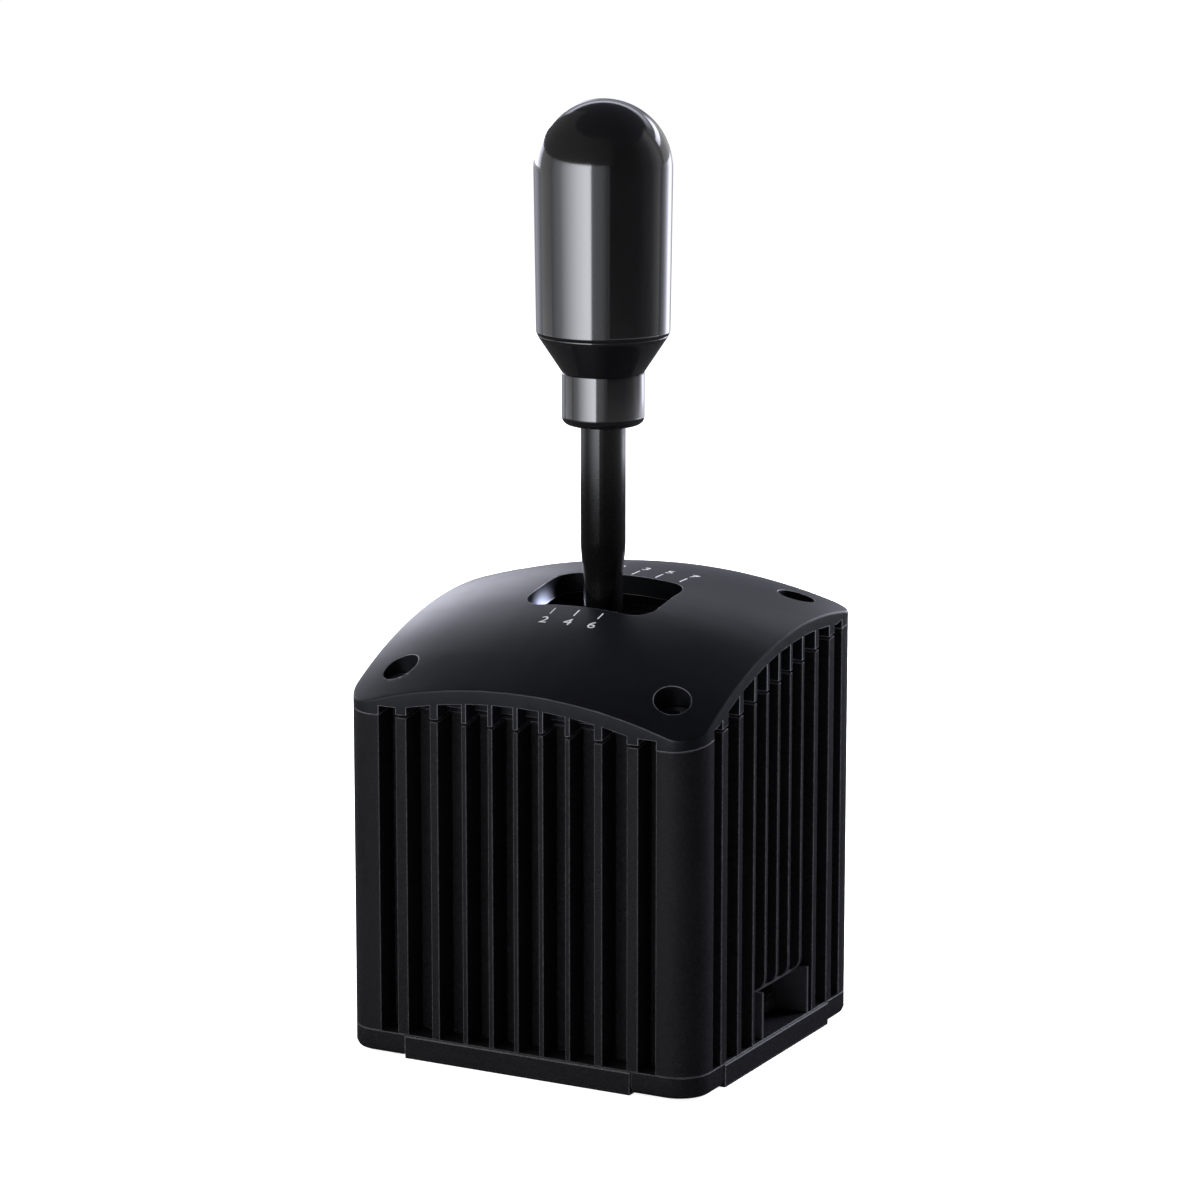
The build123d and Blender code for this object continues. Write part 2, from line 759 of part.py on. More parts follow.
with BuildPart() as lever_tail:
    with BuildSketch(Plane.XZ):
        with BuildLine():
            body = Polyline(
                (0, tail_tip),
                (0, hub_foot + stud_depth),
                (stud_radius, hub_foot + stud_depth),
                (stud_radius, hub_foot),
                (tail_radius, hub_foot),
                (tail_radius, tail_cone_top),
                (tail_pin_radius, tail_cone_foot),
                (tail_pin_radius, tail_tip + tail_pin_radius),
            )
            RadiusArc(body @ 1, body @ 0, tail_pin_radius)
        make_face()
    revolve(axis=Axis.Z)
save(lever_tail, "lever_tail")

# Detent: a notched cam on the tail, and a sprung pin in a bridge under the yoke
notch_reach = cam_radius + detent_rest_gap - detent_travel + detent_pin_radius
with BuildPart() as detent_cam:
    with BuildSketch(Plane.YZ.offset(-cam_left)):
        with BuildLine():
            drop = sqrt(cam_radius**2 - cam_half_depth**2)
            foot = ThreePointArc((-cam_half_depth, pivot_height - drop), (0, pivot_height - cam_radius),
                                 (cam_half_depth, pivot_height - drop))
            cam_top = pivot_height - cam_radius + cam_height
            Polyline(foot @ 1, (cam_half_depth, cam_top), (-cam_half_depth, cam_top), foot @ 0)
        make_face()
    extrude(amount=cam_left + cam_right)
    with BuildSketch(Plane.YZ.offset(2 * detent_x - cam_right)):
        for angle in (-shift_angle, 0, shift_angle):
            with Locations((notch_reach * sin(radians(angle)),
                            pivot_height - notch_reach * cos(radians(angle)))):
                Circle(detent_pin_radius + notch_gap)
    extrude(amount=2 * (cam_right - detent_x), mode=Mode.SUBTRACT)
    add(bores(Plane.XY.offset(cam_top), [(0, 0)], tail_radius + running_gap, cam_height),
        mode=Mode.SUBTRACT)
save(detent_cam, "detent_cam")

detent_place = [(detent_x, 0)]
with BuildPart() as detent_bridge:
    with BuildSketch(Plane.XY.offset(bridge_foot)):
        RectangleRounded(2 * bridge_leg_centre + bridge_leg, bridge_depth, cavity_corner)
        RectangleRounded(bridge_slot_width, bridge_slot_depth, cavity_corner, mode=Mode.SUBTRACT)
    extrude(amount=bridge_top - bridge_foot)
    with BuildSketch(Plane.XY.offset(bridge_top)):
        with Locations((-bridge_leg_centre, 0), (bridge_leg_centre, 0)):
            Rectangle(bridge_leg, bridge_leg_depth)
    extrude(amount=yoke_foot - bridge_top)
    with BuildSketch(Plane.XY.offset(detent_boss_foot)):
        with Locations(*detent_place):
            Circle(detent_boss_radius)
    extrude(amount=bridge_foot - detent_boss_foot)
    add(bores(Plane.XY.offset(bridge_top), detent_place, detent_pin_radius + running_gap,
              bridge_top - detent_boss_foot), mode=Mode.SUBTRACT)
    add(bores(Plane.XY.offset(yoke_foot), [(-bridge_leg_centre, 0), (bridge_leg_centre, 0)],
              tiny_screw_radius + running_gap, yoke_foot - bridge_foot), mode=Mode.SUBTRACT)
save(detent_bridge, "detent_bridge")

with BuildPart() as bridge_bolts:
    add(screw_set(down.offset(-bridge_foot), [(-bridge_leg_centre, 0), (bridge_leg_centre, 0)],
                  bridge_bolt_head, tiny_head_height, tiny_screw_radius,
                  yoke_foot - bridge_foot + bridge_bolt_bite, tiny_key_radius))
save(bridge_bolts, "bridge_bolts")

pin_tip = pivot_height - cam_radius - detent_rest_gap
pin_foot = pin_tip - detent_pin_length
with BuildPart() as detent_pin:
    with BuildSketch(Plane.XZ):
        with BuildLine():
            side = Polyline(
                (detent_x, pin_tip),
                (detent_x, pin_foot),
                (detent_x + detent_pin_radius, pin_foot),
                (detent_x + detent_pin_radius, pin_tip - detent_pin_radius),
            )
            CenterArc((detent_x, pin_tip - detent_pin_radius), detent_pin_radius, 0, 90)
        make_face()
    revolve(axis=Axis((detent_x, 0, 0), (0, 0, 1)))
save(detent_pin, "detent_pin")

with BuildPart() as detent_plug:
    with BuildSketch(Plane.XY.offset(detent_boss_foot)):
        with Locations(*detent_place):
            Circle(detent_pin_radius)
    extrude(amount=detent_plug_length)
    with BuildSketch(Plane.XY.offset(detent_boss_foot)):
        with Locations(*detent_place):
            RegularPolygon(detent_pin_radius / 2, 6)
    extrude(amount=detent_plug_length / 2, mode=Mode.SUBTRACT)
save(detent_plug, "detent_plug")

plug_top = detent_boss_foot + detent_plug_length
spring_room = pin_foot - plug_top - detent_wire - 2 * running_gap
detent_coil_plane = Plane((detent_x, 0, plug_top + detent_wire / 2 + running_gap))
detent_coil_radius = detent_pin_radius - detent_wire / 2 - running_gap
coil_edges, coil_start, coil_end = coil_path(0, detent_turns, detent_coil_radius,
                                             spring_room / detent_turns, detent_coil_plane)
print("detent spring, least gap between turns", round(least_gap(coil_edges, detent_wire), 3), "mm")
with BuildPart() as detent_spring:
    with BuildSketch(Plane(origin=coil_start[0], z_dir=coil_start[1])):
        Circle(detent_wire / 2)
    sweep(path=Wire(coil_edges))
save(detent_spring, "detent_spring")

# Knob: collar, cone adapter and capsule grip
with BuildPart() as knob_collar:
    with BuildSketch(Plane.XZ):
        with BuildLine():
            wall = Polyline(
                (collar_radius, collar_foot + collar_round),
                (collar_radius, collar_top),
                (shaft_radius + running_gap, collar_top),
                (shaft_radius + running_gap, collar_foot),
                (collar_radius - collar_round, collar_foot),
            )
            CenterArc((collar_radius - collar_round, collar_foot + collar_round), collar_round, 270, 90)
        make_face()
    revolve(axis=Axis.Z)
    grub_height = (collar_foot + collar_top) / 2
    with BuildSketch(Plane.XZ):
        with Locations((0, grub_height)):
            Circle(grub_radius + running_gap)
    extrude(amount=-collar_radius, mode=Mode.SUBTRACT)
save(knob_collar, "knob_collar")

with BuildPart() as knob_grub_screw:
    with BuildSketch(Plane.XZ.offset(-shaft_radius - running_gap)):
        with Locations((0, grub_height)):
            Circle(grub_radius)
    extrude(amount=-grub_length)
    with BuildSketch(Plane.XZ.offset(-shaft_radius - running_gap - grub_length)):
        with Locations((0, grub_height)):
            RegularPolygon(grub_radius / 2, 6)
    extrude(amount=grub_length / 2, mode=Mode.SUBTRACT)
save(knob_grub_screw, "knob_grub_screw")

step_top = cone_top + knob_step
with BuildPart() as knob_adapter:
    with BuildSketch(Plane.XZ):
        with BuildLine():
            Polyline(
                (knob_stud_radius + running_gap, collar_top),
                (collar_radius, collar_top),
                (cone_radius, cone_top),
                (cone_radius, step_top),
                (core_radius, step_top),
                (core_radius, core_top),
                (knob_stud_radius + running_gap, core_top),
                close=True,
            )
        make_face()
    revolve(axis=Axis.Z)
save(knob_adapter, "knob_adapter")

with BuildPart() as knob_grip:
    with BuildSketch(Plane.XZ):
        with BuildLine():
            Polyline(
                (0, knob_centre + knob_radius),
                (0, core_top + knob_step),
                (core_radius + running_gap, core_top + knob_step),
                (core_radius + running_gap, step_top),
                (knob_foot_radius - knob_step, step_top),
                (knob_foot_radius, step_top + knob_step),
                (knob_radius, knob_centre),
            )
            CenterArc((0, knob_centre), knob_radius, 0, 90)
        make_face()
    revolve(axis=Axis.Z)
save(knob_grip, "knob_grip")

# Angle sensors: a magnet on each axis with a board facing it
magnet_face = cheek_back + free_gap
with BuildPart() as select_magnet:
    with BuildSketch(Plane.XZ.offset(-magnet_face)):
        with Locations((0, pivot_height)):
            Circle(magnet_radius)
    extrude(amount=-magnet_length)
save(select_magnet, "select_magnet")

board_face = magnet_face + magnet_length + chip_height + sensor_gap
select_standoff_height = pivot_height - select_standoff_drop
with BuildPart() as select_standoffs:
    with BuildSketch(Plane.XZ.offset(-cheek_back)):
        with Locations((-standoff_spread, select_standoff_height), (standoff_spread, select_standoff_height)):
            Circle(standoff_radius)
    extrude(amount=-(board_face - cheek_back))
save(select_standoffs, "select_standoffs")

with BuildPart() as select_sensor_board:
    with BuildSketch(Plane.XZ.offset(-board_face)):
        with Locations((0, pivot_height - select_board_drop)):
            Rectangle(select_board_width, select_board_height)
    extrude(amount=-board_thickness)
    with BuildSketch(Plane.XZ.offset(-board_face)):
        with Locations((0, pivot_height)):
            Rectangle(chip_size, chip_size)
    extrude(amount=chip_height)
save(select_sensor_board, "select_sensor_board")

with BuildPart() as shift_magnet:
    with BuildSketch(Plane.YZ.offset(axle_length / 2)):
        with Locations((0, pivot_height)):
            Circle(magnet_radius)
    extrude(amount=magnet_length)
save(shift_magnet, "shift_magnet")

shift_board_face = axle_length / 2 + magnet_length + chip_height + sensor_gap
with BuildPart() as shift_standoffs:
    with BuildSketch(Plane.YZ.offset(yoke_side)):
        with Locations((-standoff_spread, pivot_height - shift_standoff_drop),
                       (standoff_spread, pivot_height - shift_standoff_drop)):
            Circle(standoff_radius)
    extrude(amount=shift_board_face - yoke_side)
save(shift_standoffs, "shift_standoffs")

with BuildPart() as shift_sensor_board:
    with BuildSketch(Plane.YZ.offset(shift_board_face)):
        with Locations((0, pivot_height)):
            Rectangle(shift_board_depth, shift_board_height)
    extrude(amount=board_thickness)
    with BuildSketch(Plane.YZ.offset(shift_board_face)):
        with Locations((0, pivot_height)):
            Rectangle(chip_size, chip_size)
    extrude(amount=-chip_height)
save(shift_sensor_board, "shift_sensor_board")

# Main board with its two jacks, and the bezel that lines the connector bay
board_foot = base_height + main_standoff
board_top = board_foot + board_thickness
flange_inner = inner_face - bezel_flange
board_outer = flange_inner - free_gap
with BuildPart() as board_standoffs:
    with BuildSketch(Plane.XY.offset(base_height)):
        for x in (main_board_inner + standoff_radius, board_outer - standoff_radius):
            with Locations((x, board_standoff_front), (x, board_standoff_back)):
                Circle(standoff_radius)
    extrude(amount=main_standoff)
save(board_standoffs, "board_standoffs")

with BuildPart() as main_board:
    with BuildSketch(Plane.XY.offset(board_foot)):
        with Locations(((main_board_inner + board_outer) / 2, (main_board_front + main_board_back) / 2)):
            Rectangle(board_outer - main_board_inner, main_board_back - main_board_front)
    extrude(amount=board_thickness)
save(main_board, "main_board")

data_jack_height_place = board_top + data_jack_height / 2
data_plane = Plane.YZ.offset(inner_face)
with BuildPart() as data_jack:
    with BuildSketch(data_plane):
        with Locations((data_jack_y, data_jack_height_place)):
            SlotOverall(data_jack_width, data_jack_height)
    extrude(amount=-data_jack_length)
    with BuildSketch(data_plane):
        with Locations((data_jack_y, data_jack_height_place)):
            SlotOverall(data_jack_width - 2 * data_jack_wall, data_jack_height - 2 * data_jack_wall)
    extrude(amount=-(data_jack_length - data_tongue), mode=Mode.SUBTRACT)
    with BuildSketch(data_plane.offset(-data_tongue)):
        with Locations((data_jack_y, data_jack_height_place)):
            Rectangle(data_jack_width - data_jack_height, data_tongue)
    extrude(amount=-(data_jack_length - 2 * data_tongue))
save(data_jack, "data_jack")

phone_hole_height_place = board_top + phone_jack_height / 2
with BuildPart() as phone_jack:
    with BuildSketch(data_plane):
        with Locations((phone_jack_y, phone_hole_height_place)):
            Rectangle(phone_jack_width, phone_jack_height)
    extrude(amount=-phone_jack_length)
    with BuildSketch(data_plane):
        with Locations((phone_jack_y, phone_hole_height_place)):
            Rectangle(phone_hole_width, phone_hole_height)
        with Locations((phone_jack_y, phone_hole_height_place - (phone_hole_height + phone_key_height) / 2)):
            Rectangle(phone_key_width, phone_key_height)
    extrude(amount=-phone_hole_depth, mode=Mode.SUBTRACT)
save(phone_jack, "phone_jack")

bezel_front = bay_front + free_gap
bezel_back = bay_back - free_gap
bezel_top = bay_top - free_gap
with BuildPart() as bay_bezel:
    with BuildSketch(Plane.XZ.offset(-bezel_back)):
        with BuildLine():
            Polyline(
                (inner_face, base_height),
                (half_width - bezel_recess, base_height),
                (half_width - bezel_recess, bezel_top),
                (inner_face, bezel_top),
                close=True,
            )
        make_face()
    extrude(amount=bezel_back - bezel_front)
    with BuildSketch(Plane.XZ.offset(-(bezel_back - bezel_wall))):
        with BuildLine():
            Polyline(
                (inner_face, 0),
                (half_width + overrun, 0),
                (half_width + overrun, bezel_top + overrun),
                (half_width - bay_round, bezel_top + overrun),
                (half_width - bay_round, bezel_top - bezel_wall),
                (inner_face, bezel_top - bezel_wall),
                close=True,
            )
        make_face()
    extrude(amount=bezel_back - bezel_front - 2 * bezel_wall, mode=Mode.SUBTRACT)
    with BuildSketch(Plane.YZ.offset(flange_inner)):
        with BuildLine():
            Polyline(
                (bezel_front - bezel_lip, base_height),
                (bezel_back + bezel_lip, base_height),
                (bezel_back + bezel_lip, bay_top + bezel_lip),
                (bezel_front - bezel_lip, bay_top + bezel_lip),
                close=True,
            )
        make_face()
        with Locations((data_jack_y, data_jack_height_place)):
            SlotOverall(data_jack_width + 2 * free_gap, data_jack_height + 2 * free_gap, mode=Mode.SUBTRACT)
        with Locations((phone_jack_y, phone_hole_height_place)):
            Rectangle(phone_jack_width + 2 * free_gap, phone_jack_height + 2 * free_gap, mode=Mode.SUBTRACT)
    extrude(amount=bezel_flange)
save(bay_bezel, "bay_bezel")

# Cables from the two sensor boards to the main board
select_cable_y = board_face + board_thickness / 2
select_cable_turn_x = main_board_inner + select_cable_inset
with BuildPart() as select_sensor_cable:
    with BuildLine() as select_route:
        FilletPolyline(
            (select_cable_x, select_cable_y, pivot_height - select_board_drop - select_board_height / 2),
            (select_cable_x, select_cable_y, select_cable_low),
            (select_cable_turn_x, select_cable_y, select_cable_low),
            (select_cable_turn_x, select_cable_end_y, select_cable_low),
            (select_cable_turn_x, select_cable_end_y, board_top),
            radius=cable_bend,
        )
    with BuildSketch(Plane(origin=select_route.line @ 0, z_dir=select_route.line % 0)):
        Circle(cable_radius)
    sweep(path=select_route.line)
save(select_sensor_cable, "select_sensor_cable")

shift_cable_x = shift_board_face + board_thickness / 2
shift_cable_end_x = main_board_inner + shift_cable_inset
with BuildPart() as shift_sensor_cable:
    with BuildLine() as shift_route:
        FilletPolyline(
            (shift_cable_x, shift_cable_y, pivot_height - shift_board_height / 2),
            (shift_cable_x, shift_cable_y, shift_cable_knee),
            (shift_cable_end_x, shift_cable_y, shift_cable_low),
            (shift_cable_end_x, shift_cable_y, board_top),
            radius=cable_bend,
        )
    with BuildSketch(Plane(origin=shift_route.line @ 0, z_dir=shift_route.line % 0)):
        Circle(cable_radius)
    sweep(path=shift_route.line)
save(shift_sensor_cable, "shift_sensor_cable")
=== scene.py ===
# %% [markdown]
# A sim racing gear shifter: a finned black casing with a domed cover, and a lever with a capsule
# knob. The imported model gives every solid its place. This script gives the solids that show their
# rounded edges and finishes, and sets up the camera and the studio.

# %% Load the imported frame
import json
import math

import bmesh
import bpy
from mathutils import Matrix, Vector
from mathutils.bvhtree import BVHTree

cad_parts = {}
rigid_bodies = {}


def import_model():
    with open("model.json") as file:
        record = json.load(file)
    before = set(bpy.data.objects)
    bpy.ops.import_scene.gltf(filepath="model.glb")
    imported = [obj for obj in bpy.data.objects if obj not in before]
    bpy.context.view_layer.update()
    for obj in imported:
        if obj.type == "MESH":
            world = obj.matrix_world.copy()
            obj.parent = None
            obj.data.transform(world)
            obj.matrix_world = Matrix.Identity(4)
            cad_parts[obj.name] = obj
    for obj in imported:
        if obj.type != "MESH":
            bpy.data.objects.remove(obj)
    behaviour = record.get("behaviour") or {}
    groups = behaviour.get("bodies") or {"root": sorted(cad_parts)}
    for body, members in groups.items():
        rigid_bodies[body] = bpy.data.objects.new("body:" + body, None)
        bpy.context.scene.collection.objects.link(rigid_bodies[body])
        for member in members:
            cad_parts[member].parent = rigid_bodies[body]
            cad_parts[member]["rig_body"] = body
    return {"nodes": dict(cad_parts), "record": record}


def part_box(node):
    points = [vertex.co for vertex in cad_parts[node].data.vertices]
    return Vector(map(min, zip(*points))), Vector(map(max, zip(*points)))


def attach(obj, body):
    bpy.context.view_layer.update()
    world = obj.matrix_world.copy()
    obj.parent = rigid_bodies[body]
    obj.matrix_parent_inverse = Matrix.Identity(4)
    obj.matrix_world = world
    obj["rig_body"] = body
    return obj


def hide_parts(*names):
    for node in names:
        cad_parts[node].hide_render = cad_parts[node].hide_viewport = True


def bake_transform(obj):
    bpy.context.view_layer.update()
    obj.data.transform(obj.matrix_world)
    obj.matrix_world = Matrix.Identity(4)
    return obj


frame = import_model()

nodes = frame["nodes"]
scene = bpy.context.scene
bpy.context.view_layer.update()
mm = 0.001

# %% [markdown]
# The photograph was taken with a long lens from the driver's right, a little above the knob's
# collar. The place, aim and lens come from fitting the casing's edges, so no shift is needed.

# %% Camera
camera_place = Vector((618.4, -1164.28, 415.23)) * mm
camera_aim = Vector((-1.02, 0, 126.67)) * mm
camera_data = bpy.data.cameras.new("camera")
camera_data.sensor_width = 36
camera_data.lens = 142.4
camera_data.clip_start = 0.05
camera = bpy.data.objects.new("camera", camera_data)
scene.collection.objects.link(camera)
camera.location = camera_place
camera.rotation_euler = (camera_aim - camera_place).to_track_quat("-Z", "Y").to_euler()
scene.camera = camera
scene.view_settings.view_transform = "Standard"
print("camera", [round(v, 3) for v in camera_place], "lens", camera_data.lens)

# %% [markdown]
# Small helpers. A material is always a Principled shader or a glow with a few nodes in front of
# it, so one helper starts it, and others add nodes and link them. A mesh is always built as a
# bmesh first, so one helper turns that into an object.

# %% Helpers
def start_material(name):
    """A new material with its node tree and its Principled shader."""
    material = bpy.data.materials.new(name)
    material.use_nodes = True
    tree = material.node_tree
    shader = next(n for n in tree.nodes if n.type == "BSDF_PRINCIPLED")
    return material, tree, shader


def node(tree, kind, sockets=None, **values):
    """A new node, with its properties and the defaults of its sockets set by name."""
    made = tree.nodes.new(kind)
    for name, value in {**values, **(sockets or {})}.items():
        if name in made.inputs:
            made.inputs[name].default_value = value
        else:
            setattr(made, name, value)
    return made


def math_node(tree, operation, second=None):
    """A Math node, with its second value where that is fixed."""
    made = node(tree, "ShaderNodeMath", operation=operation)
    if second is not None:
        made.inputs[1].default_value = second
    return made


def link_all(tree, *pairs):
    """Link each source socket to its target socket."""
    for source, target in pairs:
        tree.links.new(source, target)


def object_from(shape, name):
    """Turn a bmesh into a new object of the scene, and free it."""
    mesh = bpy.data.meshes.new(name)
    shape.to_mesh(mesh)
    shape.free()
    made = bpy.data.objects.new(name, mesh)
    scene.collection.objects.link(made)
    return made


print("helpers ready")

# %% [markdown]
# Three effects are used by many finishes, so each is a node group. Blasted grain is the tiny
# pitting that bead blasting and moulding leave. Handling is the slow, cloudy change that fingers
# and cleaning leave on any surface. Turning marks are the faint rings of a lathe.

# %% Shader groups for grain, handling and turning marks
def start_group(name, setting, default, *outputs):
    """A new shader group that takes a vector and one number, with its inner end nodes."""
    group = bpy.data.node_groups.new(name, "ShaderNodeTree")
    sockets = group.interface
    sockets.new_socket("Vector", in_out="INPUT", socket_type="NodeSocketVector")
    number = sockets.new_socket(setting, in_out="INPUT", socket_type="NodeSocketFloat")
    number.default_value = default
    for output in outputs:
        sockets.new_socket(output, in_out="OUTPUT", socket_type="NodeSocketFloat")
    return group, group.nodes.new("NodeGroupInput"), group.nodes.new("NodeGroupOutput")


def grain_group():
    group, start, end = start_group("blasted_grain", "Scale", 2500.0, "Height", "Speckle")
    pits = node(group, "ShaderNodeTexVoronoi", Randomness=1.0)
    lumps = node(group, "ShaderNodeTexNoise", Detail=4.0, Roughness=0.6)
    coarser = math_node(group, "MULTIPLY", 0.6)
    both = math_node(group, "ADD")
    bright = node(group, "ShaderNodeMapRange", {"From Min": 0.35, "From Max": 0.75})
    link_all(group,
             (start.outputs["Vector"], pits.inputs["Vector"]),
             (start.outputs["Vector"], lumps.inputs["Vector"]),
             (start.outputs["Scale"], pits.inputs["Scale"]),
             (start.outputs["Scale"], coarser.inputs[0]),
             (coarser.outputs[0], lumps.inputs["Scale"]),
             (pits.outputs["Distance"], both.inputs[0]),
             (lumps.outputs["Fac"], both.inputs[1]),
             (both.outputs[0], end.inputs["Height"]),
             (lumps.outputs["Fac"], bright.inputs["Value"]),
             (bright.outputs["Result"], end.inputs["Speckle"]))
    return group


def handling_group():
    group, start, end = start_group("handling", "Scale", 35.0, "Cloud")
    cloud = node(group, "ShaderNodeTexNoise", Detail=5.0, Roughness=0.55, Distortion=0.6)
    spread = node(group, "ShaderNodeMapRange", {"From Min": 0.3, "From Max": 0.7})
    link_all(group,
             (start.outputs["Vector"], cloud.inputs["Vector"]),
             (start.outputs["Scale"], cloud.inputs["Scale"]),
             (cloud.outputs["Fac"], spread.inputs["Value"]),
             (spread.outputs["Result"], end.inputs["Cloud"]))
    return group


def turning_group():
    group, start, end = start_group("turning_marks", "Rings per metre", 4000.0, "Height")
    parts = node(group, "ShaderNodeSeparateXYZ")
    along = math_node(group, "MULTIPLY")
    ring = node(group, "ShaderNodeTexNoise", noise_dimensions="1D", Detail=2.0, Scale=1.0)
    link_all(group,
             (start.outputs["Vector"], parts.inputs["Vector"]),
             (parts.outputs["Z"], along.inputs[0]),
             (start.outputs["Rings per metre"], along.inputs[1]),
             (along.outputs[0], ring.inputs["W"]),
             (ring.outputs["Fac"], end.inputs["Height"]))
    return group


groups = {"grain": grain_group(), "handling": handling_group(), "turning": turning_group()}
print("groups", sorted(groups))

# %% [markdown]
# Every finish here is the same recipe with other values: a deep colour and a paler one that the
# grain and the handling mix, a roughness that the handling moves, and a bump from grain or from
# turning marks. Edges that the script rounds carry an "edge" value, and there the colour is
# painted paler and a little blue, broken up by the grain: a painted highlight that stands in for
# the thin bright lines of light on the small rounds.

# %% Finish recipe
least_edge_highlight = 0.45    # the share of the painted edge highlight that an edge shows where the grain is dark
edge_highlight_blue = 1.06     # a painted edge highlight is this much bluer than grey


def finish(name, deep, pale, rough, grain_scale, grain_depth, metallic=0.0, specular=0.5,
           cloud_scale=35.0, edge_highlight_pale=0.0, turned=0.0, coat=0.0, speckle=0.5):
    """A material that mixes a deep and a pale colour. Speckle is the grain's share of the mix."""
    material, tree, shader = start_material(name)
    shader.inputs["Metallic"].default_value = metallic
    shader.inputs["Specular IOR Level"].default_value = specular
    shader.inputs["Coat Weight"].default_value = coat
    place = node(tree, "ShaderNodeTexCoord")
    grain = node(tree, "ShaderNodeGroup", node_tree=groups["grain"])
    grain.inputs["Scale"].default_value = grain_scale
    cloud = node(tree, "ShaderNodeGroup", node_tree=groups["handling"])
    cloud.inputs["Scale"].default_value = cloud_scale
    share = node(tree, "ShaderNodeMix", {"Factor": speckle}, data_type="FLOAT")
    colour = node(tree, "ShaderNodeMix", data_type="RGBA")
    colour.inputs[6].default_value = (*deep, 1)
    colour.inputs[7].default_value = (*pale, 1)
    link_all(tree,
             (place.outputs["Object"], grain.inputs["Vector"]),
             (place.outputs["Object"], cloud.inputs["Vector"]),
             (cloud.outputs["Cloud"], share.inputs[2]),
             (grain.outputs["Speckle"], share.inputs[3]),
             (share.outputs[0], colour.inputs["Factor"]))
    last_colour = colour.outputs[2]
    # Painted highlight: the rounded edges are painted paler and a little blue, broken up by the
    # grain.
    if edge_highlight_pale:
        edge = node(tree, "ShaderNodeAttribute", attribute_name="edge")
        edge_highlight_share = math_node(tree, "MULTIPLY")
        highlight_grain = node(tree, "ShaderNodeMapRange", {"To Min": least_edge_highlight})
        paler = node(tree, "ShaderNodeMix", data_type="RGBA")
        paler.inputs[7].default_value = (edge_highlight_pale, edge_highlight_pale, edge_highlight_pale * edge_highlight_blue, 1)
        link_all(tree,
                 (grain.outputs["Speckle"], highlight_grain.inputs["Value"]),
                 (edge.outputs["Fac"], edge_highlight_share.inputs[0]),
                 (highlight_grain.outputs["Result"], edge_highlight_share.inputs[1]),
                 (edge_highlight_share.outputs[0], paler.inputs["Factor"]),
                 (last_colour, paler.inputs[6]))
        last_colour = paler.outputs[2]
    roughness = node(tree, "ShaderNodeMapRange", {"To Min": rough[0], "To Max": rough[1]})
    bump = node(tree, "ShaderNodeBump", Distance=grain_depth)
    if turned:
        rings = node(tree, "ShaderNodeGroup", node_tree=groups["turning"])
        rings.inputs["Rings per metre"].default_value = turned
        link_all(tree,
                 (place.outputs["Object"], rings.inputs["Vector"]),
                 (rings.outputs["Height"], bump.inputs["Height"]))
    else:
        link_all(tree, (grain.outputs["Height"], bump.inputs["Height"]))
    link_all(tree,
             (last_colour, shader.inputs["Base Color"]),
             (cloud.outputs["Cloud"], roughness.inputs["Value"]),
             (roughness.outputs["Result"], shader.inputs["Roughness"]),
             (bump.outputs["Normal"], shader.inputs["Normal"]))
    return material


print("finish recipe ready")
